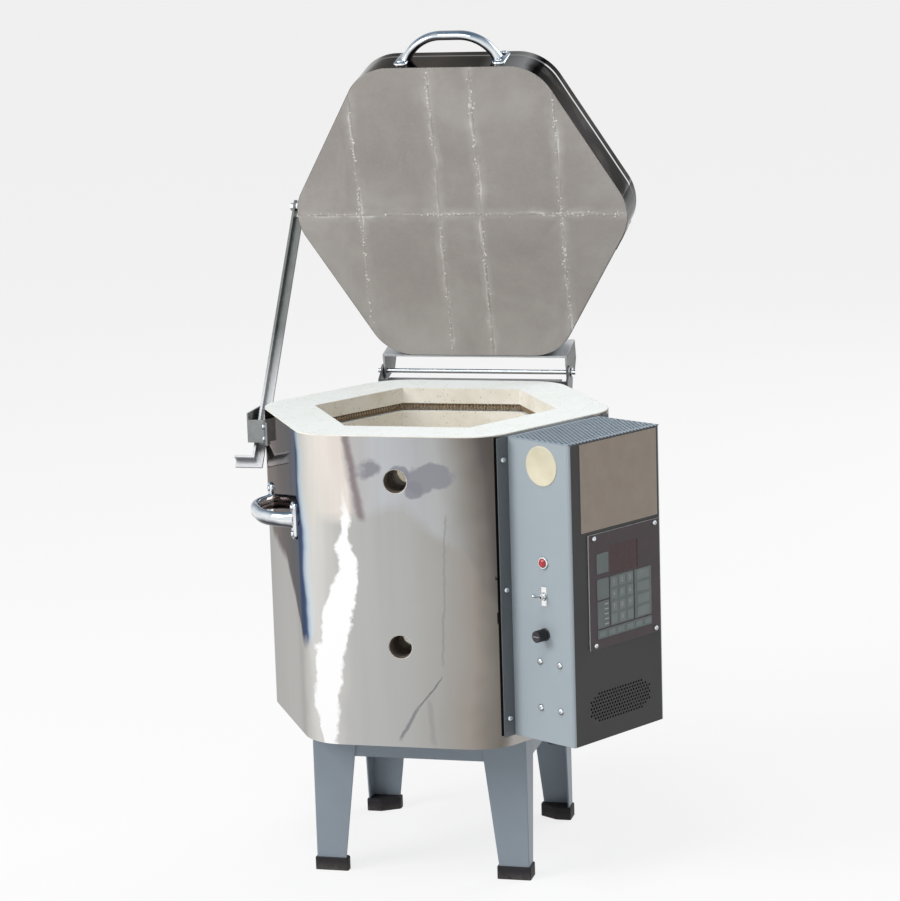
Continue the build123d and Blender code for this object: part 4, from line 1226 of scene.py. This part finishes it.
# the keys' raised caps, and the figures on the number keys
keyCaps = [(x, y, keypad["number"], 1.5) for y in keypad["rows"] for x in keypad["columns"]]
keyCaps += [(keypad["wideColumn"], y, keypad["wide"], 1.5) for y in keypad["rows"]]
keyCaps += [(x, keypad["smallRow"], keypad["small"], 1.2) for x in keypad["smallColumns"]]
caps = bmesh.new()
for x, y, half, corner in keyCaps:
    addBlock(caps, half, keypad["blockLift"], keypad["capLift"], corner, at(x, y))
figures = bmesh.new()
for figure, (x, y, half, corner) in zip("123456789", keyCaps):
    figures.from_mesh(figureMesh(figure, x, y))
figures.from_mesh(figureMesh("0", keypad["columns"][1], keypad["rows"][3]))
for y in keypad["barRows"]:
    addBlock(figures, keypad["bar"], keypad["blockLift"], 0.25, 0.4, at(keypad["barColumn"], y))
palePrint = mouldedPlastic("keyPalePrint", srgb(176, 180, 174), srgb(164, 168, 162))
addPiece("keyFigures", figures, "body", "keys", finish=palePrint, smooth=0, place=keyPlace)
# the key caps' grey is darkened by painted shade
capFinish = mouldedPlastic("keyCap", srgb(120, 130, 129), srgb(111, 121, 120), (0.35, 0.5), depth=0.00003)
addPiece("keyCaps", caps, "body", "keys", finish=capFinish, place=keyPlace)

# the bare plate above the controller and the bare round badge on the side
plates = {
    "middle": (0.0065, -0.0615),
    "plate": ((0.0715, 0.055), cover["far"], 0.0005, 0.001),
    "badge": (0.0565, -0.0345),      # out from the flat and up, on the box's left side
    "disc": [(0, 0), (0.0250, 0), (0.0250, 0.0006), (0.0244, 0.0010), (0.0228, 0.0010), (0.0220, 0.0006),
             (0, 0.0006)],
}
plateShape = fitting(boxFrame @ at(*plates["middle"]), blocks=[plates["plate"]])
# the plate's beige is a near-white film darkened by painted shade
shadedPlateFinish = mouldedPlastic("barePlateFilm", srgb(158, 145, 133), srgb(147, 134, 123), (0.3, 0.42),
                             depth=0.00003)
addPiece("barePlate", plateShape, "body", "controller", finish=shadedPlateFinish)
badgeFinish = mouldedPlastic("badgeCream", srgb(224, 218, 194), srgb(208, 200, 172), (0.3, 0.45),
                             depth=0.00004)
badgeShape = fitting(boxLeft @ at(*plates["badge"]), [(plates["disc"], 64)])
addPiece("bareBadge", badgeShape, "body", "box_metal", finish=badgeFinish)
print("keys and plates placed")


# cement on the lid's seams
cement = {
    "seed": 11,
    "perSeam": 190,
    "heaps": 7,                 # where the grains of a seam gather
    "heapSpread": 0.018,
    "heaped": 0.75,             # share of the grains that lie in heaps
    "size": (0.0004, 0.0019),
    "high": 0.0004,
    "spread": 0.0017,
    "bead": (0.0006, 0.0016),   # half width of the pointing in the seams, least and most
    "beadDepth": (0.0004, -0.00012),
    "beadStep": 0.005,
    "inner": 0.1,               # seams nearer to the middle end on the lid's flats, the others by its corners
    "short": {"flat": 0.004, "corner": 0.012, "side": 0.014},    # how far from the edge they end
}
lidUnder = Matrix.Translation(kiln["axis"] + upright * (kiln["rim"] + kiln["lidGap"]))


def seamLines():
    # every seam under the lid: the ways along and beside it, its middle, and how far it goes
    half, short = kiln["lidAcross"] / 2, cement["short"]
    along, across = Vector((0, 1, 0)), Vector((1, 0, 0))
    lines = []
    for seam in lidLook["seams"]:
        toCorner = (half * cornerReach - abs(seam)) * math.sqrt(3) - short["corner"]
        reach = half - short["flat"] if abs(seam) < cement["inner"] else toCorner
        lines.append((along, across, across * seam, reach))
    lines.append((across, along, Vector((0, 0, 0)), half * cornerReach - short["side"]))
    return lines


def seamBeads():
    # the pointing that fills each seam, flush with the bricks
    rng = random.Random(cement["seed"] + 1)
    inside, outside = cement["beadDepth"]
    place = lidOpen @ lidUnder
    bm = bmesh.new()
    for along, beside, middle, reach in seamLines():
        steps = int(2 * reach / cement["beadStep"])
        rings = []
        for step in range(steps + 1):
            point = middle + along * (-reach + 2 * reach * step / steps)
            ring = []
            for side, z in ((-1, inside), (-1, outside), (1, outside), (1, inside)):
                corner = point + beside * side * rng.uniform(*cement["bead"]) + upright * z
                ring.append(bm.verts.new(place @ corner))
            rings.append(ring)
        stitch(bm, rings)
        bm.faces.new(rings[0])
        bm.faces.new(rings[-1])
    return bm


def cementGrains():
    rng = random.Random(cement["seed"])
    least, most = cement["size"]
    bm = bmesh.new()
    for along, beside, middle, reach in seamLines():
        heaps = [rng.uniform(-reach, reach) for _ in range(cement["heaps"])]
        for _ in range(cement["perSeam"]):
            heaped = rng.random() < cement["heaped"]
            s = rng.gauss(rng.choice(heaps), cement["heapSpread"]) if heaped else rng.uniform(-reach, reach)
            if abs(s) > reach:
                continue
            x, y = (middle + along * s)[:2]
            x += rng.gauss(0, cement["spread"])
            y += rng.gauss(0, cement["spread"])
            size = least + (most - least) * rng.random() ** 2.5
            turn = Matrix.Rotation(rng.uniform(0, math.pi), 4, "Z")
            grain = (size * rng.uniform(0.7, 1.6), size * rng.uniform(0.5, 0.9), cement["high"], 1)
            seat = lidOpen @ lidUnder @ at(x, y) @ turn @ Matrix.Diagonal(grain)
            bmesh.ops.create_icosphere(bm, subdivisions=1, radius=1.0, matrix=seat)
    return bm


cementFinish = mouldedPlastic("seamCement", srgb(224, 222, 217), srgb(204, 201, 195), (0.8, 0.95), 1500.0,
                              0.0001, 0.2)
addPiece("lidCement", cementGrains(), "lid", "lid_brick", finish=cementFinish, smooth=60)
beadFinish = mouldedPlastic("seamPointing", srgb(180, 176, 171), srgb(158, 153, 148), (0.85, 0.95), 900.0,
                            0.0002, 0.2)
addPiece("seamBeads", seamBeads(), "lid", "lid_brick", finish=beadFinish, smooth=60)
print("lid seams cemented")


# floor, light and camera
studio = {
    "floor": 40,               # half its side
    "matt": (0.86, 0.86, 0.86),
    "floorGlow": 0.8,          # share of the white that the camera sees on it
    "ambient": 0.40,
    "aim": Vector((0, 0, 0.5)),
    "lights": {                # place, size and power
        "key": ((-2.98, -2.50, 2.75), 2.0, 104),
        "top": ((-0.3, -1.8, 4.0), 1.6, 48),
        "rear": ((2.2, 3.0, 2.4), 2.4, 54),
    },
}
white = (1, 1, 1)


def twoViews(tree, output, lit, seen, share=1.0):
    # the camera, mirrors and glass see one shader, all other rays meet the other
    tree.nodes.clear()
    kinds = ("Is Camera Ray", "Is Glossy Ray", "Is Transmission Ray")
    first, second, third = (Field(tree, "ShaderNodeLightPath", kind) for kind in kinds)
    pale = first.math("MAXIMUM", second).math("MAXIMUM", third)
    shaders = {"Fac": pale * share, 1: Field(tree, lit[0], 0, lit[1]), 2: Field(tree, seen[0], 0, seen[1])}
    addNode(tree, output, {"Surface": Field(tree, "ShaderNodeMixShader", 0, shaders)})


floorMesh = bpy.data.meshes.new("studioFloor")
reach = studio["floor"]
floorMesh.from_pydata([(x, y, 0) for x, y in rectangle(-reach, reach, -reach, reach)], [], [(0, 1, 2, 3)])
floor = bpy.data.objects.new("studioFloor", floorMesh)
scene.collection.objects.link(floor)
floorMaterial = bpy.data.materials.new("paleFloor")
floorMaterial.use_nodes = True
twoViews(floorMaterial.node_tree, "ShaderNodeOutputMaterial",
         ("ShaderNodeBsdfDiffuse", {"Color": studio["matt"]}),
         ("ShaderNodeEmission", {"Color": white, "Strength": 1.0}), studio["floorGlow"])
floorMesh.materials.append(floorMaterial)

world = bpy.data.worlds.new("studioWorld")
scene.world = world
world.use_nodes = True
twoViews(world.node_tree, "ShaderNodeOutputWorld",
         ("ShaderNodeBackground", {"Color": white, "Strength": studio["ambient"]}),
         ("ShaderNodeBackground", {"Color": white, "Strength": 1.0}))

for name, (place, size, power) in studio["lights"].items():
    light = bpy.data.lights.new(name + "Light", "AREA")
    light.size = size
    light.energy = power
    holder = bpy.data.objects.new(name + "Light", light)
    holder.location = place
    holder.rotation_euler = (studio["aim"] - Vector(place)).to_track_quat("-Z", "Y").to_euler()
    scene.collection.objects.link(holder)

view = {
    "at": (0.92988, -3.65765, 1.24808),
    "right": (0.96962, 0.24274, -0.03041),
    "up": (-0.01677, 0.18996, 0.98165),
    "lens": 117.67,
}
camera = bpy.data.objects.new("photoCamera", bpy.data.cameras.new("photoCamera"))
scene.collection.objects.link(camera)
camera.data.lens = view["lens"]
camera.data.sensor_width = 36
camera.data.clip_start = 0.05
camera.data.clip_end = 100
right = Vector(view["right"]).normalized()
up = Vector(view["up"]).normalized()
camera.matrix_world = frameOf(right, up, right.cross(up), view["at"])
scene.camera = camera
scene.view_settings.view_transform = "Standard"
print("studio and camera set")
